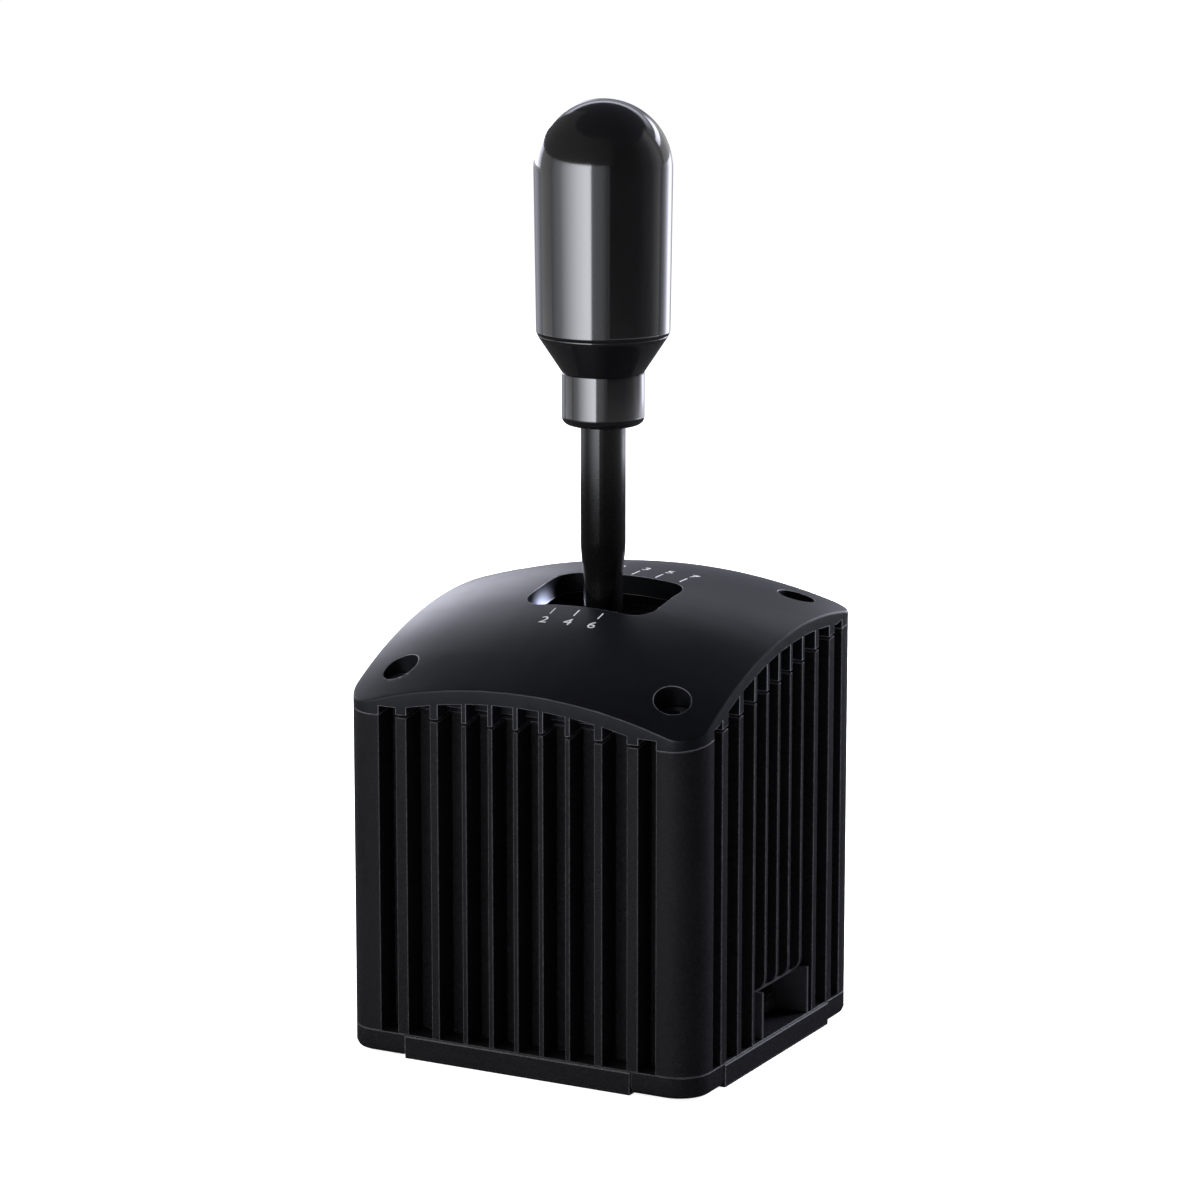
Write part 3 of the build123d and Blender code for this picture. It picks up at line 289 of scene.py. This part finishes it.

# %% [markdown]
# The finishes. The three blacks outside differ in sheen: the cover is smoother than the casing,
# and the base is moulded. The lever's two are polished and turned. The others are for the screws,
# the ports and the mechanism inside, which hardly show until a piece is used on its own.

# %% Finishes on the CAD model
# The edge value in a finish is the paleness of the painted highlight on its rounded edges.
finish_values = {
    # name: deep colour, pale colour, least and most roughness, grain per metre, grain depth
    "casing_black": ((0.0045, 0.0045, 0.0052), (0.0125, 0.0125, 0.014), (0.46, 0.58),
                     2600.0, 0.00010, dict(specular=0.06, edge_highlight_pale=0.09, speckle=0.75)),
    "cover_black": ((0.0052, 0.0056, 0.0070), (0.0104, 0.0111, 0.0136), (0.3, 0.36),
                    4200.0, 0.00001, dict(specular=0.1, edge_highlight_pale=0.32)),
    "base_plastic": ((0.0038, 0.0038, 0.0045), (0.0125, 0.0125, 0.0145), (0.5, 0.62),
                     2400.0, 0.00010, dict(specular=0.06, edge_highlight_pale=0.12, speckle=0.8)),
    "screw_steel": ((0.03, 0.03, 0.034), (0.09, 0.09, 0.1), (0.28, 0.42),
                    3000.0, 0.00001, dict(metallic=0.8, edge_highlight_pale=0.25)),
    "frame_alloy": ((0.42, 0.43, 0.45), (0.6, 0.61, 0.63), (0.28, 0.42),
                    1800.0, 0.00001, dict(metallic=1.0)),
    "bush_brass": ((0.55, 0.38, 0.16), (0.78, 0.58, 0.28), (0.22, 0.38),
                   3000.0, 0.00001, dict(metallic=1.0)),
    "gate_steel": ((0.36, 0.36, 0.38), (0.52, 0.52, 0.54), (0.2, 0.34),
                   2600.0, 0.00001, dict(metallic=1.0)),
    "spring_steel": ((0.3, 0.3, 0.32), (0.46, 0.46, 0.49), (0.22, 0.34),
                     5000.0, 0.000006, dict(metallic=1.0)),
    "standoff_brass": ((0.58, 0.42, 0.18), (0.8, 0.62, 0.3), (0.25, 0.4),
                       3500.0, 0.000008, dict(metallic=1.0)),
    "board_green": ((0.006, 0.05, 0.022), (0.012, 0.09, 0.04), (0.25, 0.4),
                    900.0, 0.00002, dict(coat=0.3)),
    "jack_steel": ((0.5, 0.5, 0.52), (0.7, 0.7, 0.72), (0.14, 0.28),
                   3500.0, 0.000004, dict(metallic=1.0)),
    "jack_plastic": ((0.010, 0.010, 0.011), (0.022, 0.022, 0.024), (0.4, 0.55),
                     3000.0, 0.00001, dict()),
    "bezel_plastic": ((0.022, 0.022, 0.024), (0.04, 0.04, 0.043), (0.35, 0.5),
                      2600.0, 0.00001, dict(specular=0.45)),
    "cable_sheath": ((0.015, 0.015, 0.015), (0.035, 0.035, 0.036), (0.55, 0.7),
                     2600.0, 0.00002, dict()),
    "pin_steel": ((0.42, 0.42, 0.44), (0.6, 0.6, 0.62), (0.14, 0.24),
                  4000.0, 0.000004, dict(metallic=1.0)),
    "magnet_nickel": ((0.55, 0.54, 0.52), (0.72, 0.71, 0.69), (0.1, 0.2),
                      3000.0, 0.000004, dict(metallic=1.0)),
    "shaft_black": ((0.003, 0.003, 0.003), (0.006, 0.006, 0.006), (0.09, 0.13),
                    3000.0, 0.000001, dict(specular=0.15, turned=2500.0)),
    "knob_black": ((0.0055, 0.0055, 0.0062), (0.0105, 0.0105, 0.0115), (0.08, 0.12),
                   2600.0, 0.000001, dict(specular=0.5, turned=3000.0, cloud_scale=22.0)),
}
finishes = {name: finish(name, *values, **extra)
            for name, (*values, extra) in finish_values.items()}
slot_of = {part["node"]: part["material_slot"] for part in frame["record"]["subparts"]}
for name, cad_node in nodes.items():
    cad_node.data.materials.clear()
    cad_node.data.materials.append(finishes[slot_of[name]])
print("finishes", len(finishes), "on", len(nodes), "nodes")

# %% [markdown]
# The casing, the cover and the base are machined or moulded, so no edge on them is knife sharp,
# and the thin bright lines in the photograph are light on those small rounds. The CAD mesh is
# loose triangles, so a copy of it is merged and its flat faces are dissolved into one each. Then
# the sharp edges are bevelled that stick out and have free space before them, or on the base
# plate those of its outer sides. The new faces carry the "edge" value, where the finish paints
# a paler highlight onto them.

# %% Rounded copies of the pieces that show
same_place = 0.000002                # points nearer than this are one point
flat_turn = math.radians(0.5)        # faces that turn less than this are one flat face
sharp_turn = math.radians(40)        # edges that turn more than this get a round
crease_turn = math.radians(30)       # shading breaks at edges that turn more than this
free_space = 20 * mm                 # how much room an edge in the open has before it
ray_start = 0.05 * mm                # how far off its edge that room is measured from
side_reach = 1.2 * mm                # how near the box's sides an outer edge lies
underside = 0.2 * mm                 # edges lower than this above the box's bottom stay sharp


def middle_of(e):
    return (e.verts[0].co + e.verts[1].co) / 2


def in_the_open(e, tree):
    """True for an edge that sticks out and has free space before it."""
    if not e.is_convex:
        return False
    out = (e.link_faces[0].normal + e.link_faces[1].normal).normalized()
    return tree.ray_cast(middle_of(e) + out * ray_start, out, free_space)[0] is None


def at_the_side(e, low, high):
    """True for an edge on the outer sides, and not on the underside."""
    place = middle_of(e)
    return place.z > low[2] + underside and any(
        min(place[i] - low[i], high[i] - place[i]) < side_reach for i in (0, 1))


def shade_smooth(shape):
    """Smooth shading that breaks at the creases."""
    for face in shape.faces:
        face.smooth = True
    for e in shape.edges:
        e.smooth = not (len(e.link_faces) == 2 and e.calc_face_angle() > crease_turn)


def rounded_copy(node_name, new_name, round_off, sides_only=False):
    """A copy of a CAD node whose sharp edges are rounded by a bevel of two steps."""
    source = nodes[node_name]
    shape = bmesh.new()
    shape.from_mesh(source.data)
    edge_layer = shape.faces.layers.float.new("edge")
    bmesh.ops.remove_doubles(shape, verts=shape.verts, dist=same_place)
    bmesh.ops.dissolve_limit(shape, angle_limit=flat_turn, verts=shape.verts, edges=shape.edges,
                             use_dissolve_boundaries=False)
    open_edges = sum(1 for e in shape.edges if len(e.link_faces) != 2)
    sharp = [e for e in shape.edges
             if len(e.link_faces) == 2 and e.calc_face_angle() > sharp_turn]
    if sides_only:
        low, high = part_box(node_name)
        sharp = [e for e in sharp if at_the_side(e, low, high)]
    else:
        tree = BVHTree.FromBMesh(shape)
        sharp = [e for e in sharp if in_the_open(e, tree)]
    made = bmesh.ops.bevel(shape, geom=sharp, offset=round_off, offset_type="OFFSET", segments=2,
                           profile=0.5, affect="EDGES", material=-1, clamp_overlap=False)
    # These faces get the finish's painted edge highlight.
    for face in made["faces"]:
        face[edge_layer] = 1.0
    shade_smooth(shape)
    bmesh.ops.triangulate(shape, faces=[f for f in shape.faces if len(f.verts) > 4])
    piece = object_from(shape, new_name)
    piece.data.materials.append(finishes[slot_of[node_name]])
    weights = piece.modifiers.new("face_weights", "WEIGHTED_NORMAL")
    weights.keep_sharp = True
    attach(piece, source["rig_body"])
    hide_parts(node_name)
    print(new_name, "faces", len(piece.data.polygons), "rounded edges", len(sharp),
          "open", open_edges)


rounded_copy("casing", "casing_machined", 0.25 * mm)
rounded_copy("top_cover", "cover_machined", 0.16 * mm)
rounded_copy("base_plate", "base_moulding", 0.25 * mm, sides_only=True)
rounded_copy("corner_blocks", "corner_mouldings", 0.25 * mm)

# %% [markdown]
# The cable to the shift sensor's board hangs between two bodies: its plug stays with the housing
# and its upper end swings with the yoke. Here it gets a merged, smooth copy, baked in place and
# attached to no body.

# %% The cable's smooth copy
def bending_copy(node_name, new_name):
    """A merged, smooth-shaded copy of a CAD node, baked in place and attached to no body."""
    shape = bmesh.new()
    shape.from_mesh(nodes[node_name].data)
    bmesh.ops.remove_doubles(shape, verts=shape.verts, dist=same_place)
    for face in shape.faces:
        face.smooth = True
    piece = object_from(shape, new_name)
    piece.data.materials.append(finishes[slot_of[node_name]])
    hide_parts(node_name)
    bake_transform(piece)
    print(new_name, "faces", len(piece.data.polygons))


bending_copy("shift_sensor_cable", "shift_cable_bending")

# %% [markdown]
# The lever's pieces are turned on a lathe, so each is a profile spun about the vertical axis. The
# heights and radii are those of the solids. Corners get a small radius from a bevel on the
# profile's points before the spin, which keeps the rounds clean.

# %% Turned pieces
def held_profile(points, hold=0.5, shortest=2.5):
    """Add points just inside the ends of long walls, so that they shade as straight walls."""
    held = [points[0]]
    for here, there in zip(points, points[1:]):
        reach = math.hypot(there[0] - here[0], there[1] - here[1])
        if reach > shortest:
            start, end = hold + here[2], hold + there[2]
            for share in (start / reach, 1 - end / reach):
                held.append((here[0] + (there[0] - here[0]) * share,
                             here[1] + (there[1] - here[1]) * share, 0))
        held.append(there)
    return held


def turned_piece(name, points, corner_steps, replaced, steps, dome_steps=0):
    """Spin a profile of (radius, height, corner size) points, and its dome if it has one."""
    shape = bmesh.new()
    points = held_profile(points)
    rail = [shape.verts.new((radius * mm, 0, height * mm)) for radius, height, _ in points]
    for here, there in zip(rail, rail[1:]):
        shape.edges.new((here, there))
    for vertex, (_, _, corner_size) in zip(rail, points):
        if corner_size:
            bmesh.ops.bevel(shape, geom=[vertex], offset=corner_size * mm, offset_type="OFFSET",
                            segments=corner_steps, profile=0.5, affect="VERTICES", material=-1)
    if dome_steps:
        dome_start = points[-1][1] * mm
        bmesh.ops.spin(shape, geom=[rail[-1]], axis=(0, -1, 0), cent=(0, 0, dome_start),
                       angle=math.pi / 2, steps=dome_steps, use_merge=False)
    bmesh.ops.spin(shape, geom=shape.verts[:] + shape.edges[:], axis=(0, 0, 1), cent=(0, 0, 0),
                   angle=math.tau, steps=steps, use_merge=True)
    bmesh.ops.remove_doubles(shape, verts=shape.verts, dist=same_place)
    bmesh.ops.recalc_face_normals(shape, faces=shape.faces)
    shade_smooth(shape)
    piece = object_from(shape, name)
    piece.data.materials.append(finishes[slot_of[replaced]])
    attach(piece, "lever")
    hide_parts(replaced)
    print(name, "faces", len(piece.data.polygons))


# Radii and heights in millimetres. The grip's socket sits on the cone's spigot, and the cone and
# the ring on the shaft, each with a hair of room.
socket_radius, socket_top = 9.02, 226.5
foot_radius, foot_chamfer, chamfer_top = 18.6, 18.9, 204.2
grip_low, grip_radius, dome_low = 203.4, 19.5, 249.9
cone_bore, cone_foot, cone_radius = 4.02, 11.55, 18.4
cone_low, cone_shoulder, cone_high = 192.5, 202.9, 203.38
spigot_radius, spigot_top = 9.0, 226.0
ring_bore, ring_radius, ring_low, ring_high = 6.42, 11.7, 177.7, 192.48
stud_radius, neck_radius, shaft_radius = 4.0, 5.65, 6.4
rod_low, neck_low, neck_high, shaft_low, rod_high = 78.5, 87.0, 133.8, 142.7, 218.0

turned_piece("knob_capsule", [
    (0, socket_top, 0), (socket_radius, socket_top, 0), (socket_radius, grip_low, 0),
    (foot_radius, grip_low, 0), (foot_chamfer, chamfer_top, 0.25), (grip_radius, dome_low, 0)],
    3, "knob_grip", 128, dome_steps=24)
turned_piece("knob_cone", [
    (cone_bore, cone_low, 0), (cone_foot, cone_low, 0.12), (cone_radius, cone_shoulder, 0.2),
    (cone_radius, cone_high, 0), (spigot_radius, cone_high, 0), (spigot_radius, spigot_top, 0.4),
    (cone_bore, spigot_top, 0), (cone_bore, cone_low, 0)],
    2, "knob_adapter", 128)
turned_piece("knob_ring", [
    (ring_bore, ring_high, 0), (ring_bore, ring_low, 0.2), (ring_radius, ring_low, 2.2),
    (ring_radius, ring_high, 0.15), (ring_bore, ring_high, 0)],
    8, "knob_collar", 128)
turned_piece("lever_rod", [
    (0, rod_low, 0), (stud_radius, rod_low, 0.5), (stud_radius, neck_low, 0),
    (neck_radius, neck_low, 0.4), (neck_radius, neck_high, 1.2), (shaft_radius, shaft_low, 1.2),
    (shaft_radius, cone_low, 0.3), (stud_radius, cone_low, 0), (stud_radius, rod_high, 0.5),
    (0, rod_high, 0)],
    4, "lever_shaft", 96)

# %% [markdown]
# The gear numbers and their ticks are printed on the cover, three on the near side of the opening
# and five on the far side. Each is a very thin solid that follows the dome: a ray is cast down
# along the cover's tilted normal, and the piece is turned to the normal that it meets.

# %% Printed gear numbers and ticks
tilt = math.radians(10.4)
joint_origin = Vector((0, 0, 108.8)) * mm
joint_y = Vector((0, math.cos(tilt), math.sin(tilt)))
joint_z = Vector((0, -math.sin(tilt), math.cos(tilt)))
cover_shape = bmesh.new()
cover_shape.from_mesh(nodes["top_cover"].data)
cover_tree = BVHTree.FromBMesh(cover_shape)
cover_shape.free()
print_rise = 0.015 * mm
print_depth = 0.06 * mm
ray_height = 60 * mm         # the rays start this far above the joint plane
digit_share = 0.7            # a digit's height as a share of the font's size
digit_stretch = 1.15         # the digits are this much wider than the font's
font_same_place = 0.000001   # a digit's points nearer than this are one point
tick_width = 0.36            # millimetres


def cover_frame(x, y):
    """The matrix of a place on the dome, given in millimetres on the joint plane."""
    start = joint_origin + Vector((x * mm, 0, 0)) + joint_y * (y * mm) + joint_z * ray_height
    place, normal, _, _ = cover_tree.ray_cast(start, -joint_z)
    across = (Vector((1, 0, 0)) - normal * normal.x).normalized()
    turned = Matrix((across, normal.cross(across), normal)).transposed().to_4x4()
    return Matrix.Translation(place + normal * print_rise) @ turned


def printed_number(text, x, y, height):
    """A digit of a given height in millimetres, as a bmesh on the dome."""
    curve = bpy.data.curves.new("number", "FONT")
    curve.body = text
    curve.size = height * mm / digit_share
    curve.align_x = "CENTER"
    curve.align_y = "CENTER"
    curve.extrude = print_depth / 2
    holder = bpy.data.objects.new("number", curve)
    scene.collection.objects.link(holder)
    bpy.context.view_layer.update()
    mesh = bpy.data.meshes.new_from_object(holder)
    bpy.data.objects.remove(holder)
    shape = bmesh.new()
    shape.from_mesh(mesh)
    bmesh.ops.remove_doubles(shape, verts=shape.verts, dist=font_same_place)
    bmesh.ops.scale(shape, vec=(digit_stretch, 1, 1), verts=shape.verts)
    bmesh.ops.transform(shape, matrix=cover_frame(x, y), verts=shape.verts)
    return shape


def printed_tick(x, low, high):
    """A thin bar from a low to a high place along the dome, as a bmesh."""
    shape = bmesh.new()
    bmesh.ops.create_cube(shape, size=1.0)
    bmesh.ops.scale(shape, vec=(tick_width * mm, (high - low) * mm, print_depth),
                    verts=shape.verts)
    lengthwise = [e for e in shape.edges if abs(e.verts[0].co.y - e.verts[1].co.y) > same_place]
    bmesh.ops.subdivide_edges(shape, edges=lengthwise, cuts=4, use_grid_fill=True)
    bmesh.ops.transform(shape, matrix=cover_frame(x, (low + high) / 2), verts=shape.verts)
    return shape


print_white = finish("print_white", (0.62, 0.62, 0.64), (0.78, 0.78, 0.8), (0.5, 0.6), 6000.0,
                     0.000004, specular=0.3)
# Millimetres on the joint plane. The far row's digits stand a little to the right of their ticks.
near_row = dict(digits=(("2", -7.5), ("4", 0.1), ("6", 7.7)), digit_shift=0, digit_y=-18.2,
                digit_height=3.3, tick_ends=(-14.5, -11.0))
far_row = dict(digits=(("R", -14.8), ("1", -7.1), ("3", 0.7), ("5", 8.3), ("7", 16.0)),
               digit_shift=0.4, digit_y=28.2, digit_height=3.1, tick_ends=(19.9, 24.8))
marks = bmesh.new()
for row in (near_row, far_row):
    for text, x in row["digits"]:
        digit = printed_number(text, x + row["digit_shift"], row["digit_y"], row["digit_height"])
        tick = printed_tick(x, *row["tick_ends"])
        for shape in (digit, tick):
            part = bpy.data.meshes.new("part")
            shape.to_mesh(part)
            shape.free()
            marks.from_mesh(part)
            bpy.data.meshes.remove(part)
bmesh.ops.recalc_face_normals(marks, faces=marks.faces)
marks_piece = object_from(marks, "gear_marks")
marks_piece.data.materials.append(print_white)
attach(marks_piece, "housing")
print("gear_marks faces", len(marks_piece.data.polygons))

# %% [markdown]
# The studio. The floor and the world are white to the camera and in reflections, and the world
# lights matt surfaces only a little, so the black finishes keep their depth. The floor keeps the
# shifter's soft shadow, because part of its white is real light on a white surface.

# %% Floor and world
def mixed_by_ray(tree, plain, white, out):
    """Show one shader to camera, mirror and glass rays, and the other to the rest."""
    path = node(tree, "ShaderNodeLightPath")
    seen = math_node(tree, "MAXIMUM")
    seen_too = math_node(tree, "MAXIMUM")
    mix = node(tree, "ShaderNodeMixShader")
    link_all(tree,
             (path.outputs["Is Camera Ray"], seen.inputs[0]),
             (path.outputs["Is Glossy Ray"], seen.inputs[1]),
             (seen.outputs[0], seen_too.inputs[0]),
             (path.outputs["Is Transmission Ray"], seen_too.inputs[1]),
             (seen_too.outputs[0], mix.inputs[0]),
             (plain.outputs[0], mix.inputs[1]),
             (white.outputs[0], mix.inputs[2]),
             (mix.outputs[0], out))


world = bpy.data.worlds.new("studio")
scene.world = world
world.use_nodes = True
world_tree = world.node_tree
world_tree.nodes.clear()
world_out = node(world_tree, "ShaderNodeOutputWorld")
dim = node(world_tree, "ShaderNodeBackground", Color=(0.95, 0.96, 1.0, 1), Strength=0.14)
white = node(world_tree, "ShaderNodeBackground", Color=(1, 1, 1, 1), Strength=1.0)
mixed_by_ray(world_tree, dim, white, world_out.inputs["Surface"])

floor_white, floor_tree, floor_shader = start_material("floor_white")
floor_out = next(n for n in floor_tree.nodes if n.type == "OUTPUT_MATERIAL")
floor_shader.inputs["Base Color"].default_value = (0.8, 0.8, 0.8, 1)
floor_shader.inputs["Roughness"].default_value = 0.9
floor_shader.inputs["Specular IOR Level"].default_value = 0.0
glow = node(floor_tree, "ShaderNodeEmission", Color=(1, 1, 1, 1), Strength=0.9)
lifted = node(floor_tree, "ShaderNodeAddShader")
link_all(floor_tree,
         (floor_shader.outputs[0], lifted.inputs[0]),
         (glow.outputs[0], lifted.inputs[1]))
mixed_by_ray(floor_tree, floor_shader, lifted, floor_out.inputs["Surface"])

floor_shape = bmesh.new()
bmesh.ops.create_grid(floor_shape, x_segments=1, y_segments=1, size=6)
floor = object_from(floor_shape, "floor")
floor.data.materials.append(floor_white)
print("floor and world ready")

# %% [markdown]
# The knob tells how the studio was lit. Its broad pale stripe is a softbox at the front left that
# ends sharply on its right and fades to its left, so a curved panel stands there with a fading
# glow. Its dark side is a card at the right that hardly glows. Panels behind, low and high, draw
# the lilac rims, the bright edges of the fins and the sheen across the cover. The panels and
# cards show only in reflections, so they light nothing.

# %% Panels and cards round the shifter
def reflected_only(shape, name):
    """A stage piece that only mirror rays see."""
    wall = object_from(shape, name)
    wall.visible_camera = False
    wall.visible_diffuse = False
    wall.visible_shadow = False
    wall.visible_transmission = False
    return wall


def curved_wall(name, from_angle, to_angle, radius, low, high):
    """Part of an upright cylinder. Angle 0 is the driver's side, and 90 the driver's right."""
    shape = bmesh.new()
    start = math.radians(from_angle)
    ends = [shape.verts.new((radius * math.sin(start), -radius * math.cos(start), z))
            for z in (low, high)]
    edge = shape.edges.new(ends)
    bmesh.ops.spin(shape, geom=[*ends, edge], axis=(0, 0, 1), cent=(0, 0, 0),
                   angle=math.radians(to_angle - from_angle), steps=24, use_merge=False)
    return reflected_only(shape, name)


def flat_disc(name, radius, z):
    """A level disc round the shifter's axis."""
    shape = bmesh.new()
    bmesh.ops.create_circle(shape, cap_ends=True, radius=radius, segments=64,
                            matrix=Matrix.Translation((0, 0, z)))
    return reflected_only(shape, name)


def fading_glow(wall, stops, colour):
    """A glow that changes with the angle round the shifter: stops are (degrees, strength)."""
    material, tree, _ = start_material(wall.name)
    out = next(n for n in tree.nodes if n.type == "OUTPUT_MATERIAL")
    first, last = stops[0][0], stops[-1][0]
    middle = (first + last) / 2
    brightest = max(strength for degrees, strength in stops)
    place = node(tree, "ShaderNodeTexCoord")
    parts = node(tree, "ShaderNodeSeparateXYZ")
    flip = math_node(tree, "MULTIPLY", -1.0)
    centred = node(tree, "ShaderNodeVectorRotate", rotation_type="Z_AXIS")
    centred.inputs["Angle"].default_value = -math.radians(middle)
    angle = math_node(tree, "ARCTAN2")
    share = node(tree, "ShaderNodeMapRange", {"From Min": math.radians(first - middle),
                                              "From Max": math.radians(last - middle)})
    ramp = node(tree, "ShaderNodeValToRGB")
    ramp_marks = ramp.color_ramp.elements
    for degrees, strength in stops[1:-1]:
        ramp_marks.new((degrees - first) / (last - first))
    for mark, (degrees, strength) in zip(ramp_marks, stops):
        level = strength / brightest
        mark.color = (*(level * share_of for share_of in colour), 1)
    glow = node(tree, "ShaderNodeEmission", Strength=brightest)
    link_all(tree,
             (place.outputs["Object"], centred.inputs["Vector"]),
             (centred.outputs[0], parts.inputs[0]),
             (parts.outputs["Y"], flip.inputs[0]),
             (parts.outputs["X"], angle.inputs[0]),
             (flip.outputs[0], angle.inputs[1]),
             (angle.outputs[0], share.inputs["Value"]),
             (share.outputs["Result"], ramp.inputs["Fac"]),
             (ramp.outputs["Color"], glow.inputs["Color"]),
             (glow.outputs[0], out.inputs["Surface"]))
    wall.data.materials.append(material)


plain, cool, lilac = (1, 1, 1), (0.92, 0.94, 1.0), (0.86, 0.87, 1.0)
discs = (
    # name, radius, height, colour, strength
    ("dark_table", 0.88, 0.0005, plain, 0.1),
    ("dark_ceiling", 1.2, 1.08, lilac, 0.12),
)
walls = (
    # name, radius, low and high edge, colour, (degrees, strength) stops from end to end
    ("front_panel", 0.55, 0.060, 0.36, cool,
     ((-68, 0.8), (-47, 2.6), (-30, 7.4), (-15, 12.0), (0, 15.0), (7.5, 15.2), (9, 1.9),
      (26, 1.4), (37, 0.4))),
    ("upper_panel", 0.55, 0.362, 1.07, plain, ((-125, 0.2), (-70, 0.25), (-15, 0.25), (45, 0.15))),
    ("right_card", 1.0, 0.0, 1.07, plain,
     ((38, 0.08), (90, 0.1), (115, 0.25), (135, 0.9), (148, 0.3))),
    ("back_panel", 0.45, 0.105, 0.25, lilac,
     ((136, 0.3), (148, 1.2), (158, 3.0), (166, 6.0), (176, 4.5), (184, 2.0), (190, 0.6))),
    ("edge_strip", 1.0, 0.52, 0.66, lilac, ((149, 6.0), (160, 9.0), (178, 7.0), (186, 2.0))),
    ("back_card", 1.2, 0.56, 1.07, lilac, ((149, 0.7), (200, 0.7), (262, 1.2))),
    ("rim_strip", 1.15, 0.82, 1.02, lilac, ((160, 1.5), (185, 2.6), (235, 2.6), (262, 2.0))),
    ("sheen_panel", 1.15, 0.17, 0.56, lilac,
     ((192, 0.3), (209, 0.4), (217, 4.0), (228, 8.5), (242, 8.5), (262, 3.0))),
    ("low_panel", 0.86, 0.0, 0.16, lilac,
     ((186, 0.5), (200, 0.4), (228, 0.6), (240, 1.2), (250, 1.2), (262, 0.8))),
)
for name, radius, height, colour, strength in discs:
    fading_glow(flat_disc(name, radius, height), ((0, strength), (180, strength)), colour)
for name, radius, low, high, colour, stops in walls:
    wall = curved_wall(name, stops[0][0], stops[-1][0], radius, low, high)
    fading_glow(wall, stops, colour)
print("discs", len(discs), "walls", len(walls))

# %% [markdown]
# The lamps give the diffuse light, and mirror rays don't see them. One big softbox stands at the
# front left and two behind. A tiny lamp inside the opening lights its left wall, where the
# photograph shows a pale patch.

# %% Lamps
def softbox(name, place, aim, size, watts, colour):
    """A rectangular area light at a place, facing an aim."""
    data = bpy.data.lights.new(name, "AREA")
    data.shape = "RECTANGLE"
    data.size, data.size_y = size
    data.energy = watts
    data.color = colour
    lamp = bpy.data.objects.new(name, data)
    scene.collection.objects.link(lamp)
    lamp.visible_glossy = False
    lamp.location = place
    lamp.rotation_euler = (Vector(aim) - lamp.location).to_track_quat("-Z", "Y").to_euler()
    return lamp


warm = (1, 0.97, 0.93)
softboxes = (
    # name, angle as for the walls, distance, height, aim, size, watts, colour
    ("front_softbox", -48, 1.0, 0.5, (0, 0, 0.08), (0.45, 0.45), 6.3, warm),
    ("left_back_softbox", -115, 0.9, 0.55, (0, 0, 0.14), (0.35, 0.6), 12.0, lilac),
    ("right_back_softbox", 148, 0.9, 0.40, (0, 0, 0.1), (0.3, 0.6), 24.0, lilac),
)
for name, angle, distance, height, aim, size, watts, colour in softboxes:
    turn = math.radians(angle)
    place = (distance * math.sin(turn), -distance * math.cos(turn), height)
    softbox(name, place, aim, size, watts, colour)
opening_lamp = softbox("opening_lamp", (-0.011, 0, 0.1215), (-0.041, 0.003, 0.1215),
                       (0.006, 0.006), 0.025, lilac)
opening_lamp.data.spread = math.radians(60)
print("studio ready")
